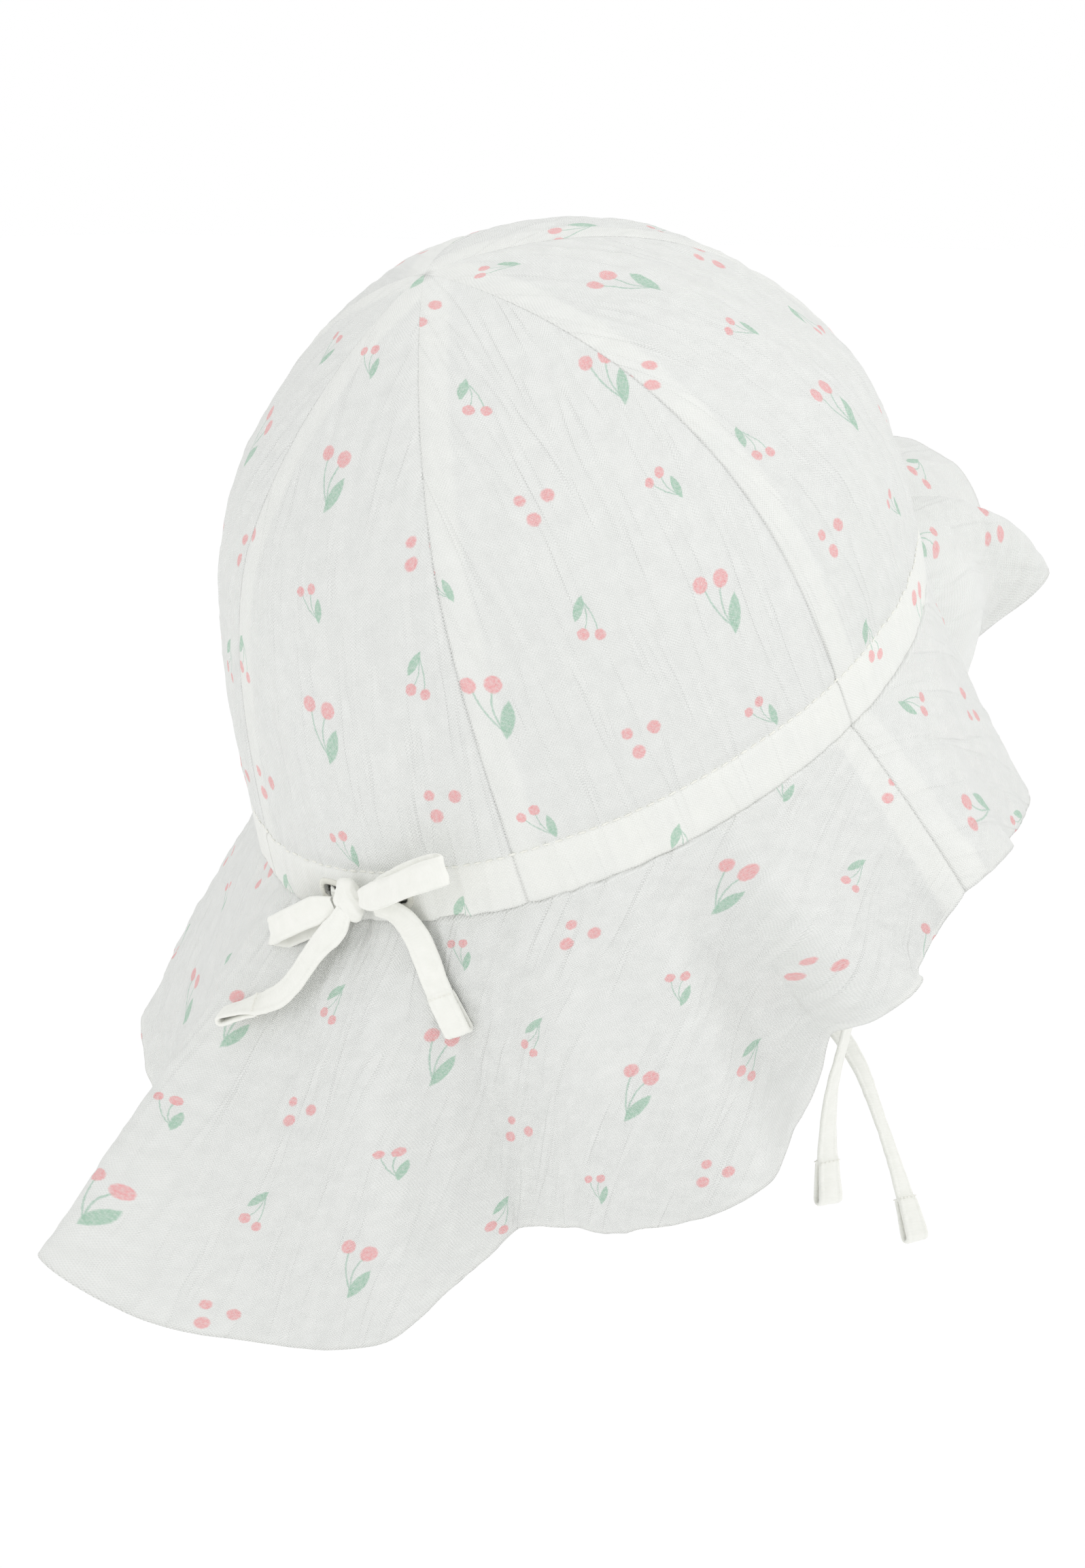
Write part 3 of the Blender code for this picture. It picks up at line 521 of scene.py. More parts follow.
def gauze_nodes(tree, shader):
    """Adds the gauze's colour and relief, and returns its colour and place in mm."""
    uv = add_node(tree, "ShaderNodeUVMap", uv_map="cut")
    place = add_node(tree, VECTOR_MATH, {0: uv, "Scale": 1000.0}, operation="SCALE")
    along = add_node(
        tree,
        "ShaderNodeMapping",
        {"Vector": place, "Scale": (1 / CRINKLE_PITCH, 1 / CRINKLE_RUN, 1.0)},
    )
    crinkle = add_node(
        tree, NOISE, {"Vector": along, "Scale": 0.62, "Detail": 1.0, "Distortion": 0.5}
    )
    off = add_node(tree, MATH, {0: crinkle, 1: 0.5}, operation="SUBTRACT")
    size = add_node(tree, MATH, {0: off}, operation="ABSOLUTE")
    # The grooves are where the noise crosses its middle, so they are long, wavy and thin.
    ridge = add_node(
        tree,
        RANGE,
        {"Value": size, "From Min": 0.0, "From Max": GROOVE_WIDTH},
        interpolation_type="SMOOTHSTEP",
    )
    crossing = add_node(
        tree,
        "ShaderNodeMapping",
        {"Vector": place, "Scale": (1 / CROSSING_RUN, 1 / CROSSING_PITCH, 1.0)},
    )
    pinch = add_node(
        tree, NOISE, {"Vector": crossing, "Scale": 0.62, "Detail": 2.0, "Roughness": 0.5}
    )
    cells = add_node(tree, MATH, {0: pinch, 1: 0.9, 2: ridge}, operation="MULTIPLY_ADD")
    bend = add_node(tree, NOISE, {"Vector": place, "Scale": 0.16, "Detail": 1.0})
    bent = add_node(
        tree,
        VECTOR_MATH,
        {0: bend.outputs["Color"], 1: (1.6, 1.6, 0.0), 2: place},
        operation="MULTIPLY_ADD",
    )
    threads = add_node(
        tree,
        VECTOR_MATH,
        {0: bent, 1: (math.tau / WEAVE_PITCH, math.tau / WEAVE_PITCH, 0.0)},
        operation="MULTIPLY",
    )
    waves = add_node(tree, VECTOR_MATH, {0: threads}, operation="SINE")
    parts = add_node(tree, "ShaderNodeSeparateXYZ", {0: waves})
    weave = add_node(tree, MATH, {0: parts, 1: parts.outputs[1]}, operation="MULTIPLY" )
    layers = add_node(tree, "ShaderNodeAttribute", attribute_name="layers")
    cloud = add_node(tree, NOISE, {"Vector": place, "Scale": 0.07, "Detail": 4.0, "Roughness": 0.6})
    # Mix keeps a socket of each kind under the same name, so colours go in by number.
    open_tone = add_node(
        tree, MIX, {0: cloud, 6: linear(GAUZE_THIN), 7: linear(GAUZE_DENSE)}, data_type="RGBA"
    )
    holes = add_node(
        tree,
        RANGE,
        {"Value": weave, "From Min": -1.0, "From Max": 1.0, "To Min": 0.0, "To Max": HOLE_TINT},
    )
    woven = add_node(
        tree, MIX, {0: holes, 6: open_tone.outputs[2], 7: linear(GAUZE_HOLES_AND_GROOVE_SHADE)}, data_type="RGBA"
    )
    # Painted shade: the colour is darkened along the crinkle grooves, where the relief dips.
    groove_shade = add_node(tree, RANGE, {"Value": ridge, "To Min": GROOVE_SHADE, "To Max": 0.0})
    groove_shaded = add_node(
        tree, MIX, {0: groove_shade, 6: woven.outputs[2], 7: linear(GAUZE_HOLES_AND_GROOVE_SHADE)}, data_type="RGBA"
    )
    creamy = add_node(tree, MATH, {0: layers.outputs["Fac"], 1: cloud}, operation="MULTIPLY" )
    tone = add_node(
        tree, MIX, {0: creamy, 6: groove_shaded.outputs[2], 7: linear(GAUZE_LAYERED)}, data_type="RGBA"
    )
    fine = add_node(tree, MATH, {0: weave, 1: WEAVE_DEPTH, 2: cells}, operation="MULTIPLY_ADD")
    flatter = add_node(tree, RANGE, {"Value": layers.outputs["Fac"], "To Min": 0.8, "To Max": 0.3})
    relief = add_node(
        tree, "ShaderNodeBump", {"Height": fine, "Strength": flatter, "Distance": RELIEF_DEPTH}
    )
    tree.links.new(relief.outputs[0], shader.inputs["Normal"])
    return tone.outputs[2], place.outputs[0]


plain_gauze, gauze_tree, gauze_shader = fresh_material("Crinkled cotton gauze", 0.95, 0.15)
plain_colour, _ = gauze_nodes(gauze_tree, gauze_shader)
gauze_tree.links.new(plain_colour, gauze_shader.inputs["Base Color"])

# %% [markdown]
# ## A cherry print
#
# The cloth carries a common little cherry print in pale pink and green, like a wash of
# watercolour. It repeats every 56 mm: a large pair with a leaf, a small pair turned
# over, a small pair turned a little, and three loose dots. Three of the four are the
# same drawing at another size and turn, so the material first finds out which one is
# nearest, moves and turns the cloth's coordinates to it, and then draws one pair of
# discs, two curved stems and a leaf with distances to a few points.

# %% Printed gauze
REPEAT = 56.0
# middle across, middle up, turn in degrees and size of each drawing in the repeat
LARGE_PAIR = (0.0, 0.0, 20.0, 1.0)
SMALL_PAIR = (0.0, -28.0, -6.0, 0.62)
TURNED_PAIR = (28.0, 11.0, 212.0, 0.68)
DOTS = (28.0, -18.0, 20.0, 1.0)
DISCS = [((-4.2, 4.7), 1.78), ((1.2, 5.4), 1.95)]
STEMS = [((-3.3, 3.6), (-0.7, -1.2), (2.9, -5.0)), ((1.0, 4.2), (0.9, -0.4), (2.7, -4.4))]
STEM_WIDTH = 0.42
LEAF_MIDDLE, LEAF_LENGTH, LEAF_BREADTH = (3.9, -2.5), 8.9, 3.2
DOT_PLACES = [((-3.1, 1.2), 1.25), ((2.9, 2.2), 1.50), ((-0.6, -3.1), 1.55)]
CHERRY_PINK, LEAF_GREEN, STEM_GREEN = "#F2AFB0", "#A9CDB7", "#B4D0C0"


def circle_through(a, b, c):
    """Middle and radius of the circle through three points of a plane."""
    (ax, ay), (bx, by), (cx, cy) = a, b, c
    d = 2 * (ax * (by - cy) + bx * (cy - ay) + cx * (ay - by))
    sa, sb, sc = ax * ax + ay * ay, bx * bx + by * by, cx * cx + cy * cy
    x = (sa * (by - cy) + sb * (cy - ay) + sc * (ay - by)) / d
    y = (sa * (cx - bx) + sb * (ax - cx) + sc * (bx - ax)) / d
    return (x, y), math.hypot(ax - x, ay - y)


def print_nodes(tree, place):
    """Adds the print, and returns how pink, how green and how stem-green the cloth is."""
    bleed = add_node(tree, NOISE, {"Vector": place, "Scale": 1.4, "Detail": 2.0})
    soaked = add_node(
        tree,
        VECTOR_MATH,
        {0: bleed.outputs["Color"], 1: (0.5, 0.5, 0.0), 2: place},
        operation="MULTIPLY_ADD",
    )
    flat = add_node(tree, "ShaderNodeSeparateXYZ", {0: soaked})
    # Every point is brought into one repeat, which has a field for each of its drawings.
    across = add_node(tree, MATH, {0: flat, 1: REPEAT * 0.75, 2: -REPEAT * 0.25}, operation="WRAP")
    up = add_node(tree, MATH, {0: flat.outputs[1], 1: 20.0, 2: 20.0 - REPEAT}, operation="WRAP")
    right, high_left, high_right = (
        add_node(tree, MATH, {0: value, 1: limit}, operation="GREATER_THAN")
        for value, limit in ((across, REPEAT * 0.25), (up, -14.0), (up, -4.0))
    )

    def of_its_drawing(index, scale=1.0):
        """Number of the drawing in whose field a point lies."""
        left_side, right_side = (
            add_node(tree, MIX, {0: high, 2: lower[index] * scale, 3: upper[index] * scale})
            for high, lower, upper in (
                (high_left, SMALL_PAIR, LARGE_PAIR), (high_right, DOTS, TURNED_PAIR),
            )
        )
        return add_node(tree, MIX, {0: right, 2: left_side, 3: right_side})

    off_across = add_node(tree, MATH, {0: across, 1: of_its_drawing(0)}, operation="SUBTRACT")
    off_up = add_node(tree, MATH, {0: up, 1: of_its_drawing(1)}, operation="SUBTRACT")
    local = add_node(tree, "ShaderNodeCombineXYZ", {0: off_across, 1: off_up})
    turned = add_node(
        tree,
        "ShaderNodeVectorRotate",
        {"Vector": local, "Angle": of_its_drawing(2, math.pi / 180.0)},
        rotation_type="Z_AXIS",
    )
    shrunk = add_node(tree, MATH, {0: 1.0, 1: of_its_drawing(3)}, operation="DIVIDE")
    point = add_node(tree, VECTOR_MATH, {0: turned, "Scale": shrunk}, operation="SCALE")
    low_right = add_node(tree, MATH, {0: 1.0, 1: high_right}, operation="SUBTRACT")
    is_dots = add_node(tree, MATH, {0: right, 1: low_right}, operation="MULTIPLY")
    is_pair = add_node(tree, MATH, {0: 1.0, 1: is_dots}, operation="SUBTRACT")

    def soft_disc(middle, radius, softness):
        """How far a point is inside a disc with a soft rim."""
        off = add_node(tree, VECTOR_MATH, {0: point, 1: (*middle, 0.0)}, operation="DISTANCE")
        rim = {"From Min": radius + softness, "From Max": radius - softness}
        return add_node(tree, RANGE, {"Value": off.outputs["Value"], **rim})

    def cherries(discs, where):
        """The strongest of some discs, in the fields of their drawing."""
        strongest = 0.0
        for middle, radius in discs:
            disc = soft_disc(middle, radius, 0.22)
            strongest = add_node(tree, MATH, {0: strongest, 1: disc}, operation="MAXIMUM")
        return add_node(tree, MATH, {0: strongest, 1: where}, operation="MULTIPLY")

    pairs, dots = cherries(DISCS, is_pair), cherries(DOT_PLACES, is_dots)
    pink = add_node(tree, MATH, {0: pairs, 1: dots}, operation="MAXIMUM")

    # A leaf is where two large discs overlap.
    reach = (LEAF_LENGTH**2 / 4 + LEAF_BREADTH**2 / 4) / LEAF_BREADTH
    shift = reach - LEAF_BREADTH / 2
    x, y = LEAF_MIDDLE
    left_disc = soft_disc((x - shift, y + 0.5), reach, 0.20)
    right_disc = soft_disc((x + shift, y - 0.5), reach, 0.20)
    lens_shape = add_node(tree, MATH, {0: left_disc, 1: right_disc}, operation="MINIMUM")
    leaf = add_node(tree, MATH, {0: lens_shape, 1: is_pair}, operation="MULTIPLY")

    # A stem is a disc less a slightly smaller one, cut off at the drawing's edges.
    stems = 0.0
    for stem in STEMS:
        middle, radius = circle_through(*stem)
        outer = soft_disc(middle, radius + STEM_WIDTH / 2, 0.14)
        inner = soft_disc(middle, radius - STEM_WIDTH / 2, 0.14)
        ring = add_node(tree, MATH, {0: outer, 1: inner}, operation="SUBTRACT")
        stems = add_node(tree, MATH, {0: stems, 1: ring}, operation="MAXIMUM")
    spread = add_node(tree, "ShaderNodeSeparateXYZ", {0: point})
    for axis, operation, limit in (
        (0, "GREATER_THAN", -5.0), (0, "LESS_THAN", 5.0),
        (1, "GREATER_THAN", -5.2), (1, "LESS_THAN", 4.0),
    ):
        within = add_node(tree, MATH, {0: spread.outputs[axis], 1: limit}, operation=operation)
        stems = add_node(tree, MATH, {0: stems, 1: within}, operation="MULTIPLY")
    stems = add_node(tree, MATH, {0: stems, 1: is_pair}, operation="MULTIPLY")
    return pink, leaf, stems


printed_gauze, print_tree, print_shader = fresh_material("Printed cotton gauze", 0.95, 0.15)
printed_tone, printed_place = gauze_nodes(print_tree, print_shader)
pink_share, leaf_share, stem_share = print_nodes(print_tree, printed_place)
wash = add_node(print_tree, NOISE, {"Vector": printed_place, "Scale": 1.6, "Detail": 3.0} )
strength = add_node(
    print_tree,
    RANGE,
    {"Value": wash, "From Min": 0.3, "From Max": 0.7, "To Min": 0.55, "To Max": 1.0},
)
printed_colour = printed_tone
for share, ink in ((stem_share, STEM_GREEN), (leaf_share, LEAF_GREEN), (pink_share, CHERRY_PINK)):
    amount = add_node(print_tree, MATH, {0: share, 1: strength}, operation="MULTIPLY")
    colours = {6: printed_colour, 7: linear(ink)}
    inked = add_node(print_tree, MIX, {0: amount, **colours}, data_type="RGBA")
    printed_colour = inked.outputs[2]
print_tree.links.new(printed_colour, print_shader.inputs["Base Color"])
print("Nodes in the printed gauze:", len(print_tree.nodes))

# %% [markdown]
# ## Tape and thread
#
# The tape is a close, smooth cotton, a shade creamier than the gauze, with a fine ribbed weave
# across it, and painted shade makes its colour a little darker in the dips of its rumples and
# lighter on their crests. The sewing thread is mercerised cotton: a little glossier, with a twist
# that is too fine to show, so only its softer shine is drawn.

# %% Tape and thread
tape_cotton, tape_tree, tape_shader = fresh_material("Folded cotton tape", 0.85, 0.2)
tape_uv = add_node(tape_tree, "ShaderNodeUVMap", uv_map="cut")
tape_place = add_node(tape_tree, VECTOR_MATH, {0: tape_uv, "Scale": 1000.0}, operation="SCALE")
ribs = add_node(
    tape_tree,
    "ShaderNodeTexWave",
    {"Vector": tape_place, "Scale": 0.45, "Distortion": 1.2, "Detail": 2.0},
    bands_direction="Y",
)
# The rumple noise raises the tape's bump and also mixes its colour: painted shade, darker in the
# dips and lighter on the crests.
rumple_height_and_shade = add_node(tape_tree, NOISE, {"Vector": tape_place, "Scale": 0.35, "Detail": 3.0})
tape_lit_and_shaded_tones = {6: linear("#EEEFE8"), 7: linear("#F8F8F3")}
shaded_tape_tone = add_node(tape_tree, MIX, {0: rumple_height_and_shade, **tape_lit_and_shaded_tones}, data_type="RGBA")
tape_tree.links.new(shaded_tape_tone.outputs[2], tape_shader.inputs["Base Color"])
tape_height = add_node(
    tape_tree, MATH, {0: ribs.outputs["Fac"], 1: 0.25, 2: rumple_height_and_shade}, operation="MULTIPLY_ADD"
)
tape_bump = add_node(
    tape_tree, "ShaderNodeBump", {"Height": tape_height, "Strength": 0.4, "Distance": 0.0003}
)
tape_tree.links.new(tape_bump.outputs[0], tape_shader.inputs["Normal"])

cotton_thread, thread_tree, thread_shader = fresh_material("Mercerised cotton thread", 0.55, 0.1)
thread_coords = add_node(thread_tree, "ShaderNodeTexCoord")
thread_noise = add_node(
    thread_tree, NOISE, {"Vector": thread_coords.outputs["Object"], "Scale": 900.0, "Detail": 2.0}
)
thread_tones = {6: linear("#E9E8DF"), 7: linear("#FAFAF4")}
thread_tone = add_node(thread_tree, MIX, {0: thread_noise, **thread_tones}, data_type="RGBA")
thread_tree.links.new(thread_tone.outputs[2], thread_shader.inputs["Base Color"])

# %% [markdown]
# ## The chin ties and the bow's tails
#
# These four are the hat's free cords, so they come before the cloth. Each is one tape
# whose last 11 mm turn back and are sewn down, which leaves a narrow teardrop that shows
# from the tape's edge. The photograph shows the tails nearly from end to end, but only
# the free ends of the ties, so the ties' way up to the band is a guess.

# %% Free cords
CORD_FINENESS = 0.00045
TAIL_BULGE, TIE_BULGE = 0.00095, 0.00125
END_STITCH_LIFT = 0.00115


def declare_cord(piece, node):
    """Rides and replaces one free tape."""
    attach(piece, "root")
    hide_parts(node)


end_lines = []


def sew_end(spine, facings):
    """Keeps the short row of stitches where a tape's end is folded back."""
    steps = np.linalg.norm(np.diff(spine, axis=0), axis=1)
    at = int(np.searchsorted(np.cumsum(steps), steps.sum() - END_FOLD * 0.9))
    side = unit(np.cross(np.gradient(spine, axis=0)[at], facings[at]))
    across = np.linspace(-0.42, 0.42, 12)[:, None] * TAPE_WIDTH
    for way in (1.0, -1.0):
        line = spine[at] + side * across + facings[at] * way * END_STITCH_LIFT
        end_lines.append((line, np.repeat(way * facings[at][None, :], 12, axis=0)))


def even_route(rough, trial):
    """Route parted as finely as the cords are, after a trial to measure its length."""
    count = int(run_length(curve_through(rough, trial)[:, :3]) / CORD_FINENESS)
    return curve_through(rough, count)


def tail_route(table):
    """Spine and facings of a bow's tail over the flap."""
    rows = []
    for angle, run, lift, twist in table:
        place, normal = hat_place(angle, run, lift)
        rows.append((*place, *normal, twist))
    dense = even_route(np.array(rows), 60)
    spine = dense[:, :3]
    tangents = unit(np.gradient(spine, axis=0))
    normals = unit(dense[:, 3:6])
    turn = np.radians(dense[:, 6])[:, None]
    facings = normals * np.cos(turn) + np.cross(tangents, normals) * np.sin(turn)
    sides = unit(np.cross(tangents, facings))
    return spine, np.cross(sides, tangents)


def pinched(count):
    """Widths of a tape that comes narrow out of the knot."""
    along = np.arange(count) * CORD_FINENESS
    return TAPE_WIDTH * (0.62 + 0.48 * np.clip(along / 0.008, 0.0, 1.0) ** 0.7)


for side, table, seed in (("left", LEFT_TAIL, 11), ("right", RIGHT_TAIL, 12)):
    spine, facings = tail_route(table)
    path, ways = fold_back(spine, facings, TAIL_BULGE)
    widths = pinched(len(path))
    tail = sweep_tape(f"tail_tape_{side}", path, ways, widths, tape_cotton, seed)
    declare_cord(tail, f"bow_tail_{side}")
    sew_end(spine, facings)

for side, start, table, seed in (
    ("right", RIGHT_TIE_START, RIGHT_TIE, 13),
    ("left", LEFT_TIE_START, LEFT_TIE, 14),
):
    depth = CLOTH + CHANNEL_DEPTH + CASING_WALL + SEAM_GAP + TAPE_THICKNESS / 2
    rows = [
        (*inside_crown(start, height, depth), start % 180.0)
        for height in (CASING_HEIGHT / 2, 0.0)
    ]
    dense = even_route(np.array([*rows, *table]), 90)
    spine = dense[:, :3]
    turn = np.radians(dense[:, 3])
    facings = np.stack((-np.sin(turn), -np.cos(turn), 0.0 * turn), -1)
    tangents = unit(np.gradient(spine, axis=0))
    facings = np.cross(unit(np.cross(tangents, facings)), tangents)
    path, ways = fold_back(spine, facings, TIE_BULGE)
    widths = np.full(len(path), TAPE_WIDTH)
    tie = sweep_tape(f"tie_tape_{side}", path, ways, widths, tape_cotton, seed)
    declare_cord(tie, f"chin_tie_{side}")
    sew_end(spine, facings)

# %% [markdown]
# ## Crinkled cloth as a grid
#
# Each panel is a fine grid laid over the formula, moved in and out along its normals.
# Long ridges follow the threads, smaller ones cross them, and a slow swell keeps large
# panels from looking pressed. The ridges get their place from the flat cut of the panel,
# so they run straight up the cloth as the weave does. Solidify then gives the cloth its
# thickness, inwards, where the CAD wall is. The print is on the outer face only, as on
# real printed gauze, so the inner face gets the plain material.

# %% Relief of the cloth
# way in mm over which the relief fades out towards a seam
SEAM_FADE = 1.6


def soft_grooves(noise):
    """Rounded ridges, with a soft groove wherever a noise crosses its middle."""
    return (noise * noise + 0.015) ** 0.25 - 0.5


def crinkles(x, y, seed):
    """Height of the crinkles in millimetres, over the flat cut in millimetres."""
    x = x + 1.6 * soft_noise(x / 25.0, y / 40.0, seed + 5)
    ridges = soft_grooves(soft_noise(x / 3.6, y / 26.0, seed))
    cross = soft_noise(x / 4.4, y / 3.2, seed + 1)
    folds = soft_grooves(soft_noise(x / 10.0, y / 60.0, seed + 2))
    slow = soft_noise(x / 15.0, y / 17.0, seed + 3)
    return 0.36 * ridges + 0.24 * cross + 0.52 * folds + 0.34 * slow


def cut_uv(x, y, cut):
    """Place on the printed cloth in metres, from the flat cut in millimetres."""
    middle_x, middle_y, side_x, side_y, rise_x, rise_y = cut
    span = (side_x * rise_y - side_y * rise_x) / REPEAT
    x, y = x - middle_x, y - middle_y
    u = (x * rise_y - y * rise_x) / span
    v = (y * side_x - x * side_y) / span
    return np.stack((u, v), -1) * 1e-3


def cloth_piece(name, points, uvs, layers, material, inside=None, keep=None, flip=False):
    """Cloth of a grid of points, with its thickness, its UV map and its layers."""
    rows, columns = points.shape[:2]
    index = np.arange(rows * columns).reshape(rows, columns)
    quads = np.stack(
        (index[:-1, :-1], index[1:, :-1], index[1:, 1:], index[:-1, 1:]), -1
    ).reshape(-1, 4)
    if flip:
        quads = quads[:, ::-1]
    if keep is not None:
        quads = quads[keep.ravel()]
    used = np.zeros(rows * columns, bool)
    used[quads.ravel()] = True
    number = np.cumsum(used) - 1
    points, uvs = points.reshape(-1, 3)[used], uvs.reshape(-1, 2)[used]
    piece = mesh_piece(name, points, number[quads], uvs, material)
    piece.data.attributes.new("layers", "FLOAT", "POINT")
    piece.data.attributes["layers"].data.foreach_set(
        "value", layers.ravel()[used].astype(np.float32)
    )
    merged = bmesh.new()
    merged.from_mesh(piece.data)
    bmesh.ops.remove_doubles(merged, verts=merged.verts, dist=1e-6)
    merged.to_mesh(piece.data)
    merged.free()
    wall = piece.modifiers.new("Cloth", "SOLIDIFY")
    wall.thickness = CLOTH
    wall.offset = -1.0
    wall.use_even_offset = False
    if inside:
        piece.data.materials.append(inside)
        wall.material_offset = 1
    return piece


# %% [markdown]
# ## The crown
#
# Six panels meet in a point. Along each seam the cloth dives into the stitches and
# puckers, and the seam allowance lies under the front-side panel as a smoother, creamier
# strip about 7 mm wide. Round the bottom, a tape is sewn inside as the drawstring's
# channel: there the cloth is smoother too, up to a line of stitches, and it is gathered
# behind. The back panel has two buttonholes, so faces inside an oval are left out and
# the points round it are brought to its edge.

# %% Crown panels
ALLOWANCE = 7.0
STRIP_HEIGHT = CASING_HEIGHT * 1e3
EYELET_SPACING = 0.0196
EYELET_WIDTH, EYELET_HEIGHT, EYELET_SQUARENESS = 0.0062, 0.0036, 0.7
GORE_COLUMNS = 104
STRAIGHT = (REPEAT, 0.0, 0.0, REPEAT)
# angle of the panel's middle, how crinkled it is, and in mm the middle of a large pair
# and the two sides of the repeat on the flat cut
GORES = {
    "back": (180, 1.0, (-2.0, 45.0, *STRAIGHT)),
    "back_left": (240, 1.1, (3.0, 40.0, *STRAIGHT)),
    "front_left": (300, 1.0, (25.0, 39.0, *STRAIGHT)),
    "front": (0, 1.2, (-14.0, 16.0, *STRAIGHT)),
    "front_right": (60, 1.6, (-1.0, 57.5, *STRAIGHT)),
    "back_right": (120, 0.9, (22.5, 45.0, *STRAIGHT)),
}
stitch_lines = []
eyelet_offset = math.degrees(EYELET_SPACING / 2 / BAND_HALF_WIDTH)


def smooth_step(low, high, value):
    """0 below low, 1 above high, and a soft rise between them."""
    t = np.clip((value - low) / (high - low), 0.0, 1.0)
    return t * t * (3 - 2 * t)


def gather_share(angle):
    """How much the drawstring gathers the cloth at angles, 1 at the back."""
    off = np.abs((np.asarray(angle, float) % 360.0) - 180.0)
    return 0.25 + 0.75 * np.exp(-((off / 42.0) ** 2))


def gore_sheet(name, middle, crinkled, cut, seed):
    """One crown panel."""
    fine = np.linspace(0.0, APEX_SHARE, 900)
    line = crown_places(float(middle), fine)
    climb = np.concatenate([[0.0], np.cumsum(np.linalg.norm(np.diff(line, axis=0), axis=1))]) * 1e3
    # The rows lie close together over the channel and wider apart above it.
    low_rows, high_rows = np.arange(0.0, 13.0, 0.62), np.arange(13.4, climb[-1] - 1.0, 1.75)
    up = np.concatenate([low_rows, high_rows, [climb[-1]]])
    share = np.interp(up, climb, fine)
    share[-1] = 1.0
    angle = middle + np.linspace(-1.0, 1.0, GORE_COLUMNS + 1) * GORE / 2
    points = crown_places(angle[None, :], share[:, None])
    normals = grid_normals(points)
    normals[-1] = (0.0, 0.0, 1.0)
    steps = np.linalg.norm(np.diff(points, axis=1), axis=2) * 1e3
    x = np.concatenate([np.zeros((len(up), 1)), np.cumsum(steps, axis=1)], axis=1)
    # The cut is seen from outside, where angles grow to the left.
    x = x[:, GORE_COLUMNS // 2][:, None] - x
    y = np.repeat(up[:, None], GORE_COLUMNS + 1, axis=1)
    low_edge = x[:, :1] - x
    high_edge = x - x[:, -1:]
    edge = np.minimum(low_edge, high_edge)
    strip = 1.0 - smooth_step(STRIP_HEIGHT - 0.4, STRIP_HEIGHT + 0.6, y)
    allowance = 1.0 - smooth_step(ALLOWANCE - 0.8, ALLOWANCE + 0.8, high_edge)
    calm = 1.0 - 0.6 * strip
    wide = smooth_step(0.0, 22.0, x[:, :1] - x[:, -1:])
    # The relief fades out at the seams, so that two panels meet at the same depth.
    free = 1.0 - np.exp(-((edge / SEAM_FADE) ** 2))
    calm = calm * (1.0 - 0.45 * allowance) * wide * crinkled * free
    height = crinkles(x + 7.0 * seed, y, seed) * calm
    height = height + 0.25 * strip + 0.12 * allowance * (1.0 - strip) * wide * free
    height = height - 0.50 * np.exp(-(((y - STRIP_HEIGHT) / 0.8) ** 2))
    puckers = soft_noise(y / 2.1, x / 6.0, seed + 8)
    height = height + 0.42 * puckers * np.exp(-edge / 3.0) * (1.0 - strip) * wide * free
    gathers = soft_noise(x / 1.9, y / 30.0, seed + 9) * gather_share(angle)[None, :]
    reach = np.exp(-np.maximum(y - STRIP_HEIGHT, 0.0) / 9.0)
    height = height + 0.50 * gathers * reach * free
    height = height - 0.20 * wide * np.exp(-(edge**2)) - 0.30 * np.exp(-((y / 0.8) ** 2))
    points = points + normals * (height * 1e-3)[..., None]
    keep = None
    if name == "back":
        keep = cut_eyelets(points, x, y)
    row = int(np.argmin(np.abs(up - STRIP_HEIGHT)))
    stitch_lines.append((hung(points[row] + normals[row] * 0.00016), hung(normals[row])))
    layers = np.maximum(0.6 * strip, 0.3 * allowance)
    piece = cloth_piece(
        f"panel_{name}", hung(points), cut_uv(x, y, cut), layers, printed_gauze, plain_gauze, keep
    )
    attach(piece, "root")
    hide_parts(f"crown_{name}_gore")
    return piece


def cut_eyelets(points, x, y):
    """Brings points to the rims of the two buttonholes and drops the faces inside."""
    power = 2.0 / EYELET_SQUARENESS
    hole = np.zeros(x.shape, bool)
    for side in (-1.0, 1.0):
        middle = side * EYELET_SPACING / 2 * 1e3
        wide, tall = EYELET_WIDTH / 2 * 1e3, EYELET_HEIGHT / 2 * 1e3
        off_x = (x - middle) / wide
        off_y = (y - STRIP_HEIGHT / 2) / tall
        size = (np.abs(off_x) ** power + np.abs(off_y) ** power) ** (1.0 / power)
        hole |= size < 0.80
        rim = (size >= 0.80) & (size < 1.25)
        for r, c in zip(*np.nonzero(rim)):
            move = 1.0 / size[r, c]
            new_x = middle + (x[r, c] - middle) * move
            new_y = STRIP_HEIGHT / 2 + (y[r, c] - STRIP_HEIGHT / 2) * move
            angle = 180.0 - math.degrees(new_x * 1e-3 / BAND_HALF_WIDTH)
            points[r, c] = crown_places(angle, new_y * 1e-3 / CROWN_HEIGHT)
    inside = hole[:-1, :-1] | hole[1:, :-1] | hole[1:, 1:] | hole[:-1, 1:]
    return ~inside


for number, (name, (middle, crinkled, cut)) in enumerate(GORES.items()):
    panel = gore_sheet(name, middle, crinkled, cut, 20 + 10 * number)
    print(panel.name, "faces:", len(panel.data.polygons))

# %% [markdown]
# ## The drawstring and its channel
#
# A tape sewn inside the band makes the channel. It bulges towards the head where the
# drawstring runs behind it, and it is ruffled at the back where the string draws it up.
# The drawstring comes out of one buttonhole, goes round the front and back out of the
# other, bunched to less than half its width in the holes. Its route is the CAD source's.

# %% Channel tape
CHANNEL_COLUMNS, CHANNEL_ROWS = 480, 12
angle = np.linspace(0.0, 360.0, CHANNEL_COLUMNS + 1)
rise = np.linspace(0.0, 1.0, CHANNEL_ROWS + 1)
height = 0.0003 + rise * (CASING_HEIGHT + 0.0006)
outer_face = crown_places(angle[None, :], height[:, None] / CROWN_HEIGHT)
outward = grid_normals(outer_face)
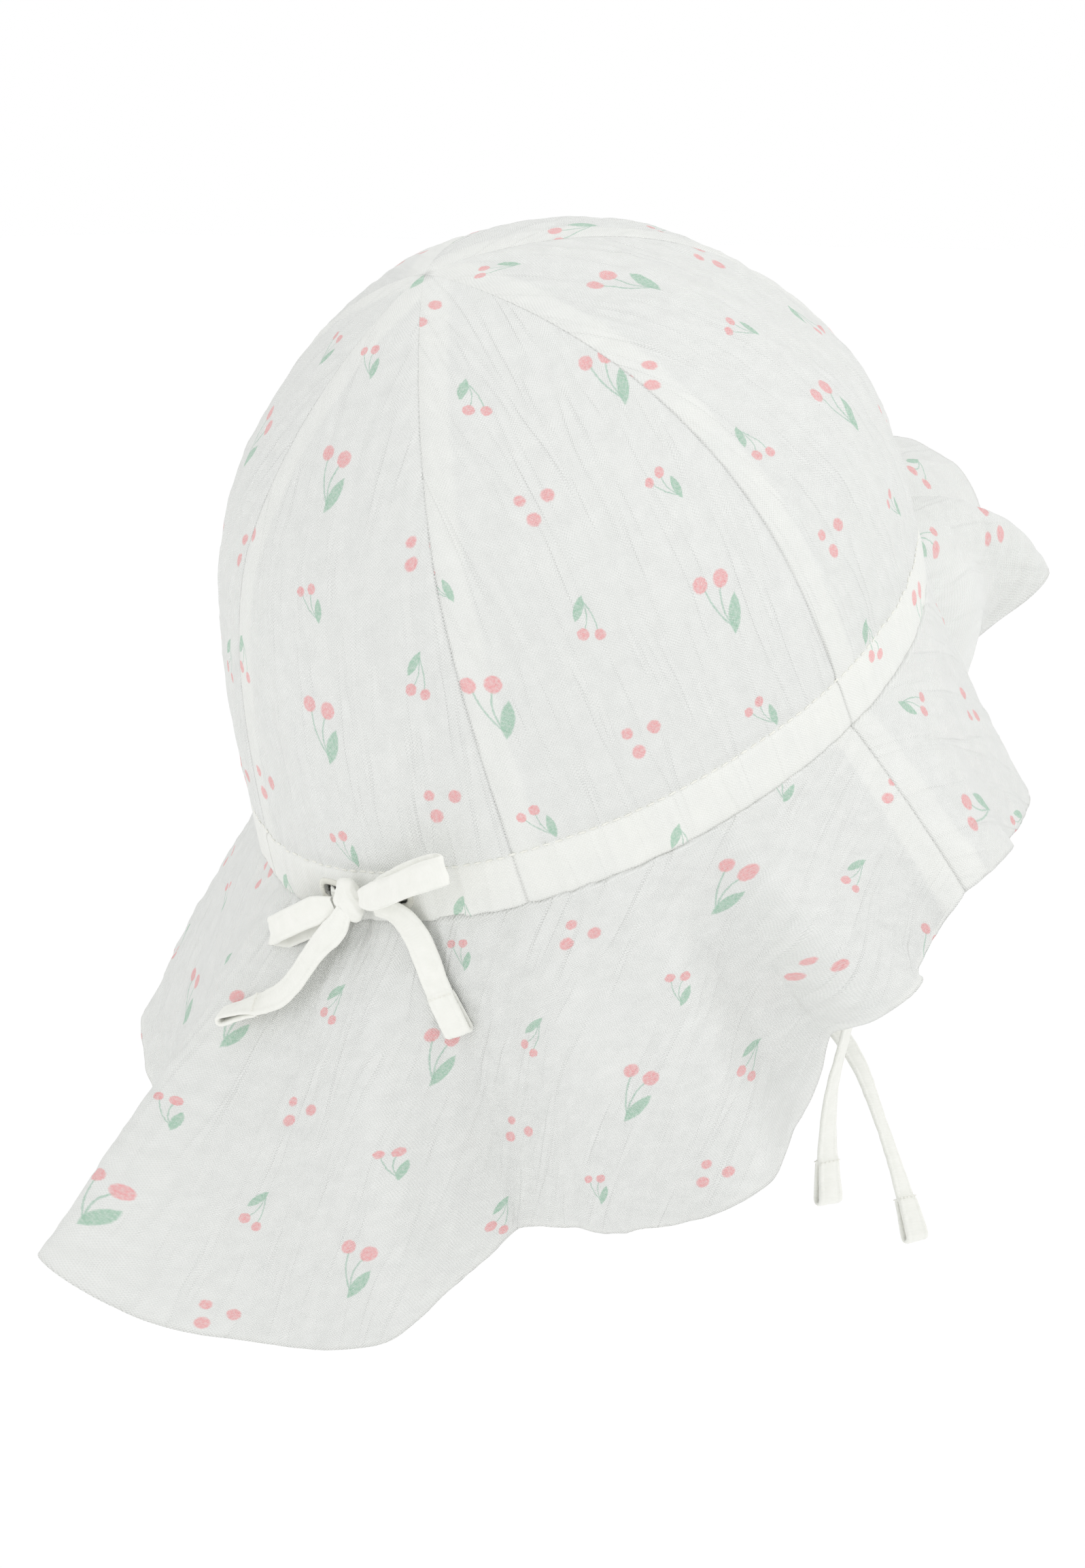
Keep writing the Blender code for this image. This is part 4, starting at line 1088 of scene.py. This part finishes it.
# 64 cells of noise close the ring, three times over.
ruffles = soft_noise(angle[None, :] * 192.0 / 360.0, rise[:, None] * 1.3, 71)
ruffles = ruffles * (0.2 + gather_share(angle))[None, :] * 0.00035
bulge = np.sin(np.pi * rise) ** 0.6 * CHANNEL_DEPTH
depth = CLOTH + 0.0002 + bulge[:, None] - ruffles * np.sin(np.pi * rise)[:, None]
points = outer_face - outward * depth[..., None]
channel_uv = np.stack(np.broadcast_arrays(angle[None, :] * 0.00142, height[:, None]), -1)
channel = cloth_piece("channel_tape", hung(points), channel_uv, 0.0 * depth, tape_cotton)
channel.modifiers["Cloth"].thickness = CASING_WALL
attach(channel, "root")
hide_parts("casing")
print("Channel tape faces:", len(channel.data.polygons))

# %% Drawstring
# share of half a buttonhole from its middle towards the knot, height over the crown, width
STRING_EXIT = [
    (-0.35, -0.0010, 0.0024), (0.30, 0.0008, 0.0025), (0.85, 0.0020, 0.0030),
    (1.25, 0.0022, 0.0036), (1.65, 0.0022, 0.0034),
]
half_hole = math.degrees(EYELET_WIDTH / 2 / BAND_HALF_WIDTH)
right_hole, left_hole = 180.0 - eyelet_offset, 180.0 + eyelet_offset
string_rows = [
    (right_hole + half_hole * share, lift, wide) for share, lift, wide in STRING_EXIT[::-1]
]
first = right_hole - 1.1 * half_hole
for i in range(101):
    string_width = 0.0024 if i in (0, 100) else TAPE_WIDTH
    string_rows.append((first * (1 - 2 * i / 100), -(CLOTH + CHANNEL_DEPTH / 2), string_width))
string_rows += [(left_hole - half_hole * share, lift, wide) for share, lift, wide in STRING_EXIT]
string_rows = np.array(string_rows)
string_share = CASING_HEIGHT / 2 / CROWN_HEIGHT
rough = [inside_crown(angle, CASING_HEIGHT / 2, -lift) for angle, lift, wide in string_rows]
rough = np.column_stack([rough, string_rows[:, 0], string_rows[:, 2]])
dense = curve_through(rough, 620)
facings = np.array([hung(crown_normal(angle, string_share)) for angle in dense[:, 3]])
drawstring = sweep_tape("drawstring_tape", dense[:, :3], facings, dense[:, 4], tape_cotton, 15)
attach(drawstring, "root")
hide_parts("drawstring")
print("Drawstring length in mm:", round(run_length(dense[:, :3]) * 1e3))

# %% [markdown]
# ## The bow
#
# The knot is the tape's own wrap: one strip goes round the two loops and is pulled tight,
# so it shows as a small barrel with creases. It is built as a lump whose surface dips in
# a few lines along the wrap. The right loop has deeper lengthwise creases than the left.

# %% Knot and loops
KNOT_WIDTH, KNOT_DEPTH, KNOT_HEIGHT, KNOT_WRAP = 0.0078, 0.0050, 0.0110, 0.12
knot_share = KNOT_RISE / CROWN_HEIGHT
knot_outward = crown_normal(180.0, knot_share)
knot_middle = hung(crown_places(180.0, knot_share) + knot_outward * KNOT_STANDOFF)
knot_right = hung(np.array([-1.0, 0.0, 0.0]))
knot_up = hung(np.cross(knot_outward, np.array([-1.0, 0.0, 0.0])))
knot_outward = hung(knot_outward)

knot_rings, knot_steps = 40, 64
polar = np.linspace(0.02, math.pi - 0.02, knot_rings)[:, None]
around = np.linspace(0.0, math.tau, knot_steps + 1)[None, :]
x = np.sin(polar) * np.cos(around)
y = np.sin(polar) * np.sin(around)
z = np.cos(polar) + 0.0 * around
slant = x + 0.35 * z
creases = 0.055 * np.cos(slant * 9.0 + 0.8) + 0.035 * np.cos(slant * 21.0 + z * 2.0)
creases = creases + 0.03 * soft_noise(x * 3.0 + 9.0, z * 4.0 + 9.0, 77)
swell = (1.0 + KNOT_WRAP * np.cos(4 * math.pi * z / 2)) / (1.0 + KNOT_WRAP * 0.2)
full = 0.5 * (1.0 + creases * np.sin(polar)) * 0.97
lump = knot_middle + (x * full * KNOT_WIDTH * swell)[..., None] * knot_right
lump = lump + (y * full * KNOT_DEPTH)[..., None] * knot_outward
lump = lump + (z * full * KNOT_HEIGHT)[..., None] * knot_up
knot_points = lump[:, :-1].reshape(-1, 3)
knot_uv = np.stack(np.broadcast_arrays(around[:, :-1] * 0.002, polar * 0.004), -1).reshape(-1, 2)
last_ring = range((knot_rings - 1) * knot_steps, knot_rings * knot_steps)
knot_faces = [tuple(range(knot_steps)), tuple(last_ring)[::-1]]
for i in range(knot_rings - 1):
    for j in range(knot_steps):
        k = (j + 1) % knot_steps
        a, b = i * knot_steps, (i + 1) * knot_steps
        knot_faces.append((a + j, b + j, b + k, a + k))
knot = mesh_piece("knot_tape", knot_points, knot_faces, knot_uv, tape_cotton)
knot_mesh = bmesh.new()
knot_mesh.from_mesh(knot.data)
bmesh.ops.recalc_face_normals(knot_mesh, faces=knot_mesh.faces)
knot_mesh.to_mesh(knot.data)
knot_mesh.free()
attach(knot, "root")
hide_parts("bow_knot")

for side, route, seed in (("left", LEFT_LOOP, 16), ("right", RIGHT_LOOP, 17)):
    dense = curve_through(route, 150)
    spine = knot_middle + dense[:, :1] * knot_right + dense[:, 1:2] * knot_outward
    spine = spine + dense[:, 2:3] * knot_up
    tangents = unit(np.gradient(spine, axis=0))
    planes = unit(np.cross(knot_up, tangents))
    turn = np.radians(dense[:, 3])[:, None]
    facings = planes * np.cos(turn) + np.cross(tangents, planes) * np.sin(turn)
    ends = np.minimum(np.arange(150), np.arange(150)[::-1]) / 149.0
    widths = TAPE_WIDTH * (0.60 + 0.50 * np.clip(ends / 0.12, 0.0, 1.0) ** 0.7)
    creased = 0.00016 if side == "right" else 0.00006
    loop = sweep_tape(f"loop_tape_{side}", spine, facings, widths, tape_cotton, seed, creased)
    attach(loop, "root")
    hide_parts(f"bow_loop_{side}")
    print(f"Loop {side} length in mm:", round(run_length(spine) * 1e3, 1))

# %% [markdown]
# ## The brim and the neck flap
#
# The brim and the flap are cut as parts of flat rings, which is why their edges are
# longer than their seams and fall in waves. Their print and their threads turn with the
# ring, so the flat cut is worked out as a ring first, and the flap's cloth was cut with
# its threads turned. The cloth gets the same crinkles, small gathers under the band and
# a slight waver along its free edge.

# %% Brim and flap
# angles of the side seams, radius of the ring at its seam in mm, middle angle, columns,
# rows, and cut of the cloth: across, up and turn
SKIRTS = {
    "brim": (-90.0, 90.0, 120.0, 0.0, 340, 40, (-8.0, -12.0, 55.0, 8.0, -8.0, 55.0)),
    "flap": (90.0, 270.0, 133.0, 180.0, 540, 64, (-2.5, -78.0, 52.0, -3.0, 18.0, 48.0)),
}
SEAM_PER_DEGREE = 1.42


def skirt_sheet(name, start, end, ring, middle, columns, rows, cut, seed):
    """The brim or the flap."""
    angle = np.linspace(start, end, columns + 1)
    share = np.linspace(0.0, 1.0, rows + 1) ** 1.05
    points = cloth_places(angle[None, :], share[:, None])
    normals = -grid_normals(points)
    length = folds_at(angle)[0] * 1e3
    run = share[:, None] * length[None, :]
    turn = np.radians((angle - middle) * SEAM_PER_DEGREE / ring * 180.0 / math.pi)[None, :]
    # Seen from outside, angles grow to the left.
    x = -(ring + run) * np.sin(turn)
    y = ring - (ring + run) * np.cos(turn)
    side = np.minimum(angle - start, end - angle)[None, :] * SEAM_PER_DEGREE
    uvs = cut_uv(x, y, cut)
    height = crinkles(uvs[..., 0] * 1e3, uvs[..., 1] * 1e3, seed) * smooth_step(0.0, 6.0, run + 1.0)
    height = height + crinkles(uvs[..., 1] * 1e3, uvs[..., 0] * 1e3, seed + 6) * 0.7
    free = 1.0 - np.exp(-((side / SEAM_FADE) ** 2))
    gathers = soft_noise(angle[None, :] * 0.62, run / 40.0, seed + 9) * gather_share(angle)[None, :]
    height = height + 0.75 * gathers * np.exp(-run / 13.0) * smooth_step(0.0, 2.0, run)
    left = length[None, :] - run
    waver = soft_noise(angle[None, :] * 0.21, 0.0, seed + 4)
    height = (height + 1.0 * waver * np.exp(-left / 9.0)) * free
    height = height - 0.25 * np.exp(-(side**2)) - 0.35 * np.exp(-((run / 0.9) ** 2))
    points = points + normals * (CLOTH / 2 + height * 1e-3)[..., None]
    # The first row reaches up behind the band's edge, so the seam is closed.
    points[0] -= band_outward(angle) * 0.0003
    points[0, :, 2] += SEAM_GAP + 0.0004
    hem = 1.0 - smooth_step(0.6, 1.6, left)
    layers = np.maximum(hem, 1.0 - smooth_step(5.5, 7.0, side + 0.0 * run))
    piece = cloth_piece(
        f"cloth_{name}", hung(points), uvs, 0.35 * layers, printed_gauze, plain_gauze, flip=True
    )
    return piece, points, x, y


for number, (name, sizes) in enumerate(SKIRTS.items()):
    piece, points, flat_x, flat_y = skirt_sheet(name, *sizes, 90 + 10 * number)
    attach(piece, "root")
    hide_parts("brim" if name == "brim" else "neck_flap")

# %% [markdown]
# ## Stitches
#
# Every visible stitch is the same thing at another size: a short bead of thread, laid
# along a line on the cloth. A Geometry Nodes tree takes the line, parts it evenly, and
# puts a bead at each place, turned along the line and flat on the cloth. The stitches
# of the band run in the groove over the channel. The buttonholes use the same tree with
# beads that are wide across the line and close together, as buttonhole stitch is. Where
# a tape's end is folded back, one short row holds it.

# %% A tree for rows of stitches
STITCH_INPUTS = (("Pitch", 0.0026), ("Length", 0.0019), ("Width", 0.0005), ("Height", 0.0004))


def stitch_tree():
    """Tree that lays beads of thread along the lines of a mesh."""
    tree = bpy.data.node_groups.new("Row of stitches", "GeometryNodeTree")
    face = tree.interface
    face.new_socket("Lines", in_out="INPUT", socket_type="NodeSocketGeometry")
    for label, value in STITCH_INPUTS:
        face.new_socket(label, in_out="INPUT", socket_type="NodeSocketFloat").default_value = value
    face.new_socket("Thread", in_out="INPUT", socket_type="NodeSocketMaterial")
    face.new_socket("Stitches", in_out="OUTPUT", socket_type="NodeSocketGeometry")
    given = add_node(tree, "NodeGroupInput")
    curve = add_node(tree, "GeometryNodeMeshToCurve", {"Mesh": given.outputs["Lines"]})
    parted = add_node(
        tree,
        "GeometryNodeResampleCurve",
        {"Curve": curve, "Length": given.outputs["Pitch"]},
        mode="LENGTH",
    )
    tangent = add_node(tree, "GeometryNodeInputTangent")
    facing = add_node(
        tree, "GeometryNodeInputNamedAttribute", {"Name": "facing"}, data_type="FLOAT_VECTOR" 
    )
    laid = add_node(
        tree,
        "FunctionNodeAxesToRotation",
        {0: tangent, 1: facing},
        primary_axis="X",
        secondary_axis="Z",
    )
    sway = add_node(
        tree,
        "FunctionNodeRandomValue",
        {0: (-0.10, -0.06, -0.14), 1: (0.10, 0.06, 0.14), "Seed": 5},
        data_type="FLOAT_VECTOR",
    )
    swayed = add_node(tree, "FunctionNodeEulerToRotation", {0: sway})
    turned = add_node(
        tree, "FunctionNodeRotateRotation", {0: laid, 1: swayed}, rotation_space="LOCAL"
    )
    size = add_node(
        tree,
        "ShaderNodeCombineXYZ",
        {0: given.outputs["Length"], 1: given.outputs["Width"], 2: given.outputs["Height"]},
    )
    bead = add_node(tree, "GeometryNodeMeshUVSphere", {"Segments": 8, "Rings": 6, "Radius": 0.5} )
    beads = add_node(
        tree,
        "GeometryNodeInstanceOnPoints",
        {
            "Points": parted,
            "Instance": bead,
            "Rotation": turned,
            "Scale": size,
        },
    )
    real = add_node(tree, "GeometryNodeRealizeInstances", {0: beads})
    smooth = add_node(tree, "GeometryNodeSetShadeSmooth", {0: real})
    dyed = add_node(
        tree, "GeometryNodeSetMaterial", {"Geometry": smooth, "Material": given.outputs["Thread"]}
    )
    add_node(tree, "NodeGroupOutput", {0: dyed})
    return tree


row_of_stitches = stitch_tree()


def sew(name, lines, sizes):
    """Stitches along lines, each of them points and the way the cloth faces there."""
    mesh = bpy.data.meshes.new(name)
    points = np.vstack([line for line, facing in lines])
    edges = []
    start = 0
    for line, facing in lines:
        edges += [(start + i, start + i + 1) for i in range(len(line) - 1)]
        start += len(line)
    mesh.from_pydata([tuple(p) for p in points], edges, [])
    ways = mesh.attributes.new("facing", "FLOAT_VECTOR", "POINT")
    ways.data.foreach_set("vector", np.vstack([facing for line, facing in lines]).ravel())
    piece = bpy.data.objects.new(name, mesh)
    bpy.context.collection.objects.link(piece)
    rows = piece.modifiers.new("Stitches", "NODES")
    rows.node_group = row_of_stitches
    values = dict(sizes, Thread=cotton_thread)
    for item in row_of_stitches.interface.items_tree:
        if item.item_type == "SOCKET" and item.name in values:
            rows[item.identifier] = values[item.name]
    view = bpy.context.evaluated_depsgraph_get()
    sewn = bpy.data.meshes.new_from_object(piece.evaluated_get(view))
    piece.modifiers.clear()
    piece.data = sewn
    sewn.name = name
    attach(piece, "root")
    print(name, "faces:", len(sewn.polygons))
    return piece


# %% Band, tape ends and buttonholes
BAND_STITCH = {"Pitch": 0.0027, "Length": 0.0020, "Width": 0.00042, "Height": 0.00036}
END_STITCH = {"Pitch": 0.0011, "Length": 0.0009, "Width": 0.00035, "Height": 0.00030}
sew("stitches_band", stitch_lines, BAND_STITCH)
sew("stitches_tape_ends", end_lines, END_STITCH)


def buttonhole_lines(middle):
    """Closed line round a buttonhole's rim, and the way it faces."""
    line, facing = [], []
    for turn in np.linspace(0.0, math.tau, 97):
        level = math.copysign(abs(math.cos(turn)) ** EYELET_SQUARENESS, math.cos(turn))
        steep = math.copysign(abs(math.sin(turn)) ** EYELET_SQUARENESS, math.sin(turn))
        across = (EYELET_WIDTH / 2 + 0.00045) * level
        share = (CASING_HEIGHT / 2 + (EYELET_HEIGHT / 2 + 0.00045) * steep) / CROWN_HEIGHT
        here = middle + math.degrees(across / BAND_HALF_WIDTH)
        normal = crown_normal(here, share)
        line.append(hung(crown_places(here, share) + normal * 0.00032))
        facing.append(hung(normal))
    return np.array(line), np.array(facing)


for side, middle in (("right", right_hole), ("left", left_hole)):
    rim = sew(
        f"buttonhole_{side}",
        [buttonhole_lines(middle)],
        {"Pitch": 0.00027, "Length": 0.00031, "Width": 0.0017, "Height": 0.0009},
    )
    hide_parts(f"eyelet_{side}")

# %% [markdown]
# ## The floor and the light
#
# The photograph has a white ground and soft light from above and from the right. A pale
# floor well under the hat and a bright world give the ground, and two large soft lights
# give the cloth its gentle shade.

# %% Floor, light and world
FLOOR_REACH, FLOOR_DROP = 60, 1.6
floor_corners = [
    (side * FLOOR_REACH, end * FLOOR_REACH, -FLOOR_DROP)
    for side, end in ((-1, -1), (1, -1), (1, 1), (-1, 1))
]
floor_mesh = bpy.data.meshes.new("Floor")
floor_mesh.from_pydata(floor_corners, [], [(0, 1, 2, 3)])
floor = bpy.data.objects.new("Floor", floor_mesh)
bpy.context.collection.objects.link(floor)
floor_paint, _, floor_shader = fresh_material("White paper", 0.9, 0.0)
floor_shader.inputs["Base Color"].default_value = (0.95, 0.95, 0.95, 1.0)
floor_shader.inputs["Emission Color"].default_value = (1.0, 1.0, 1.0, 1.0)
floor_shader.inputs["Emission Strength"].default_value = 0.18
floor_mesh.materials.append(floor_paint)

world = bpy.data.worlds.new("Soft white studio")
world.use_nodes = True
sky_tree = world.node_tree
way = add_node(sky_tree, "ShaderNodeTexCoord")
parts = add_node(sky_tree, "ShaderNodeSeparateXYZ", {0: way.outputs["Generated"]})
fade = add_node(
    sky_tree,
    RANGE,
    {"Value": parts.outputs[2], "From Min": 0.15, "From Max": 0.6, "To Min": 1.0, "To Max": 0.85},
)
sky_tree.links.new(fade.outputs[0], sky_tree.nodes["Background"].inputs["Strength"])
sky_tree.nodes["Background"].inputs["Color"].default_value = (1.0, 1.0, 1.0, 1.0)
bpy.context.scene.world = world


def soft_light(name, way, distance, size, power):
    """Large square light that looks at the hat."""
    lamp = bpy.data.lights.new(name, "AREA")
    lamp.energy = power
    lamp.size = size
    item = bpy.data.objects.new(name, lamp)
    bpy.context.collection.objects.link(item)
    way = Vector(way).normalized()
    item.location = way * distance
    item.rotation_euler = way.to_track_quat("Z", "Y").to_euler()


soft_light("Key", camera_right * 0.9 + camera_up * 1.1 + camera_back * 0.5, 1.5, 0.7, 3.8)
soft_light("Fill", camera_right * -0.7 + camera_up * 0.5 + camera_back * 1.2, 1.8, 1.4, 2.2)
bpy.context.scene.view_settings.view_transform = "Standard"
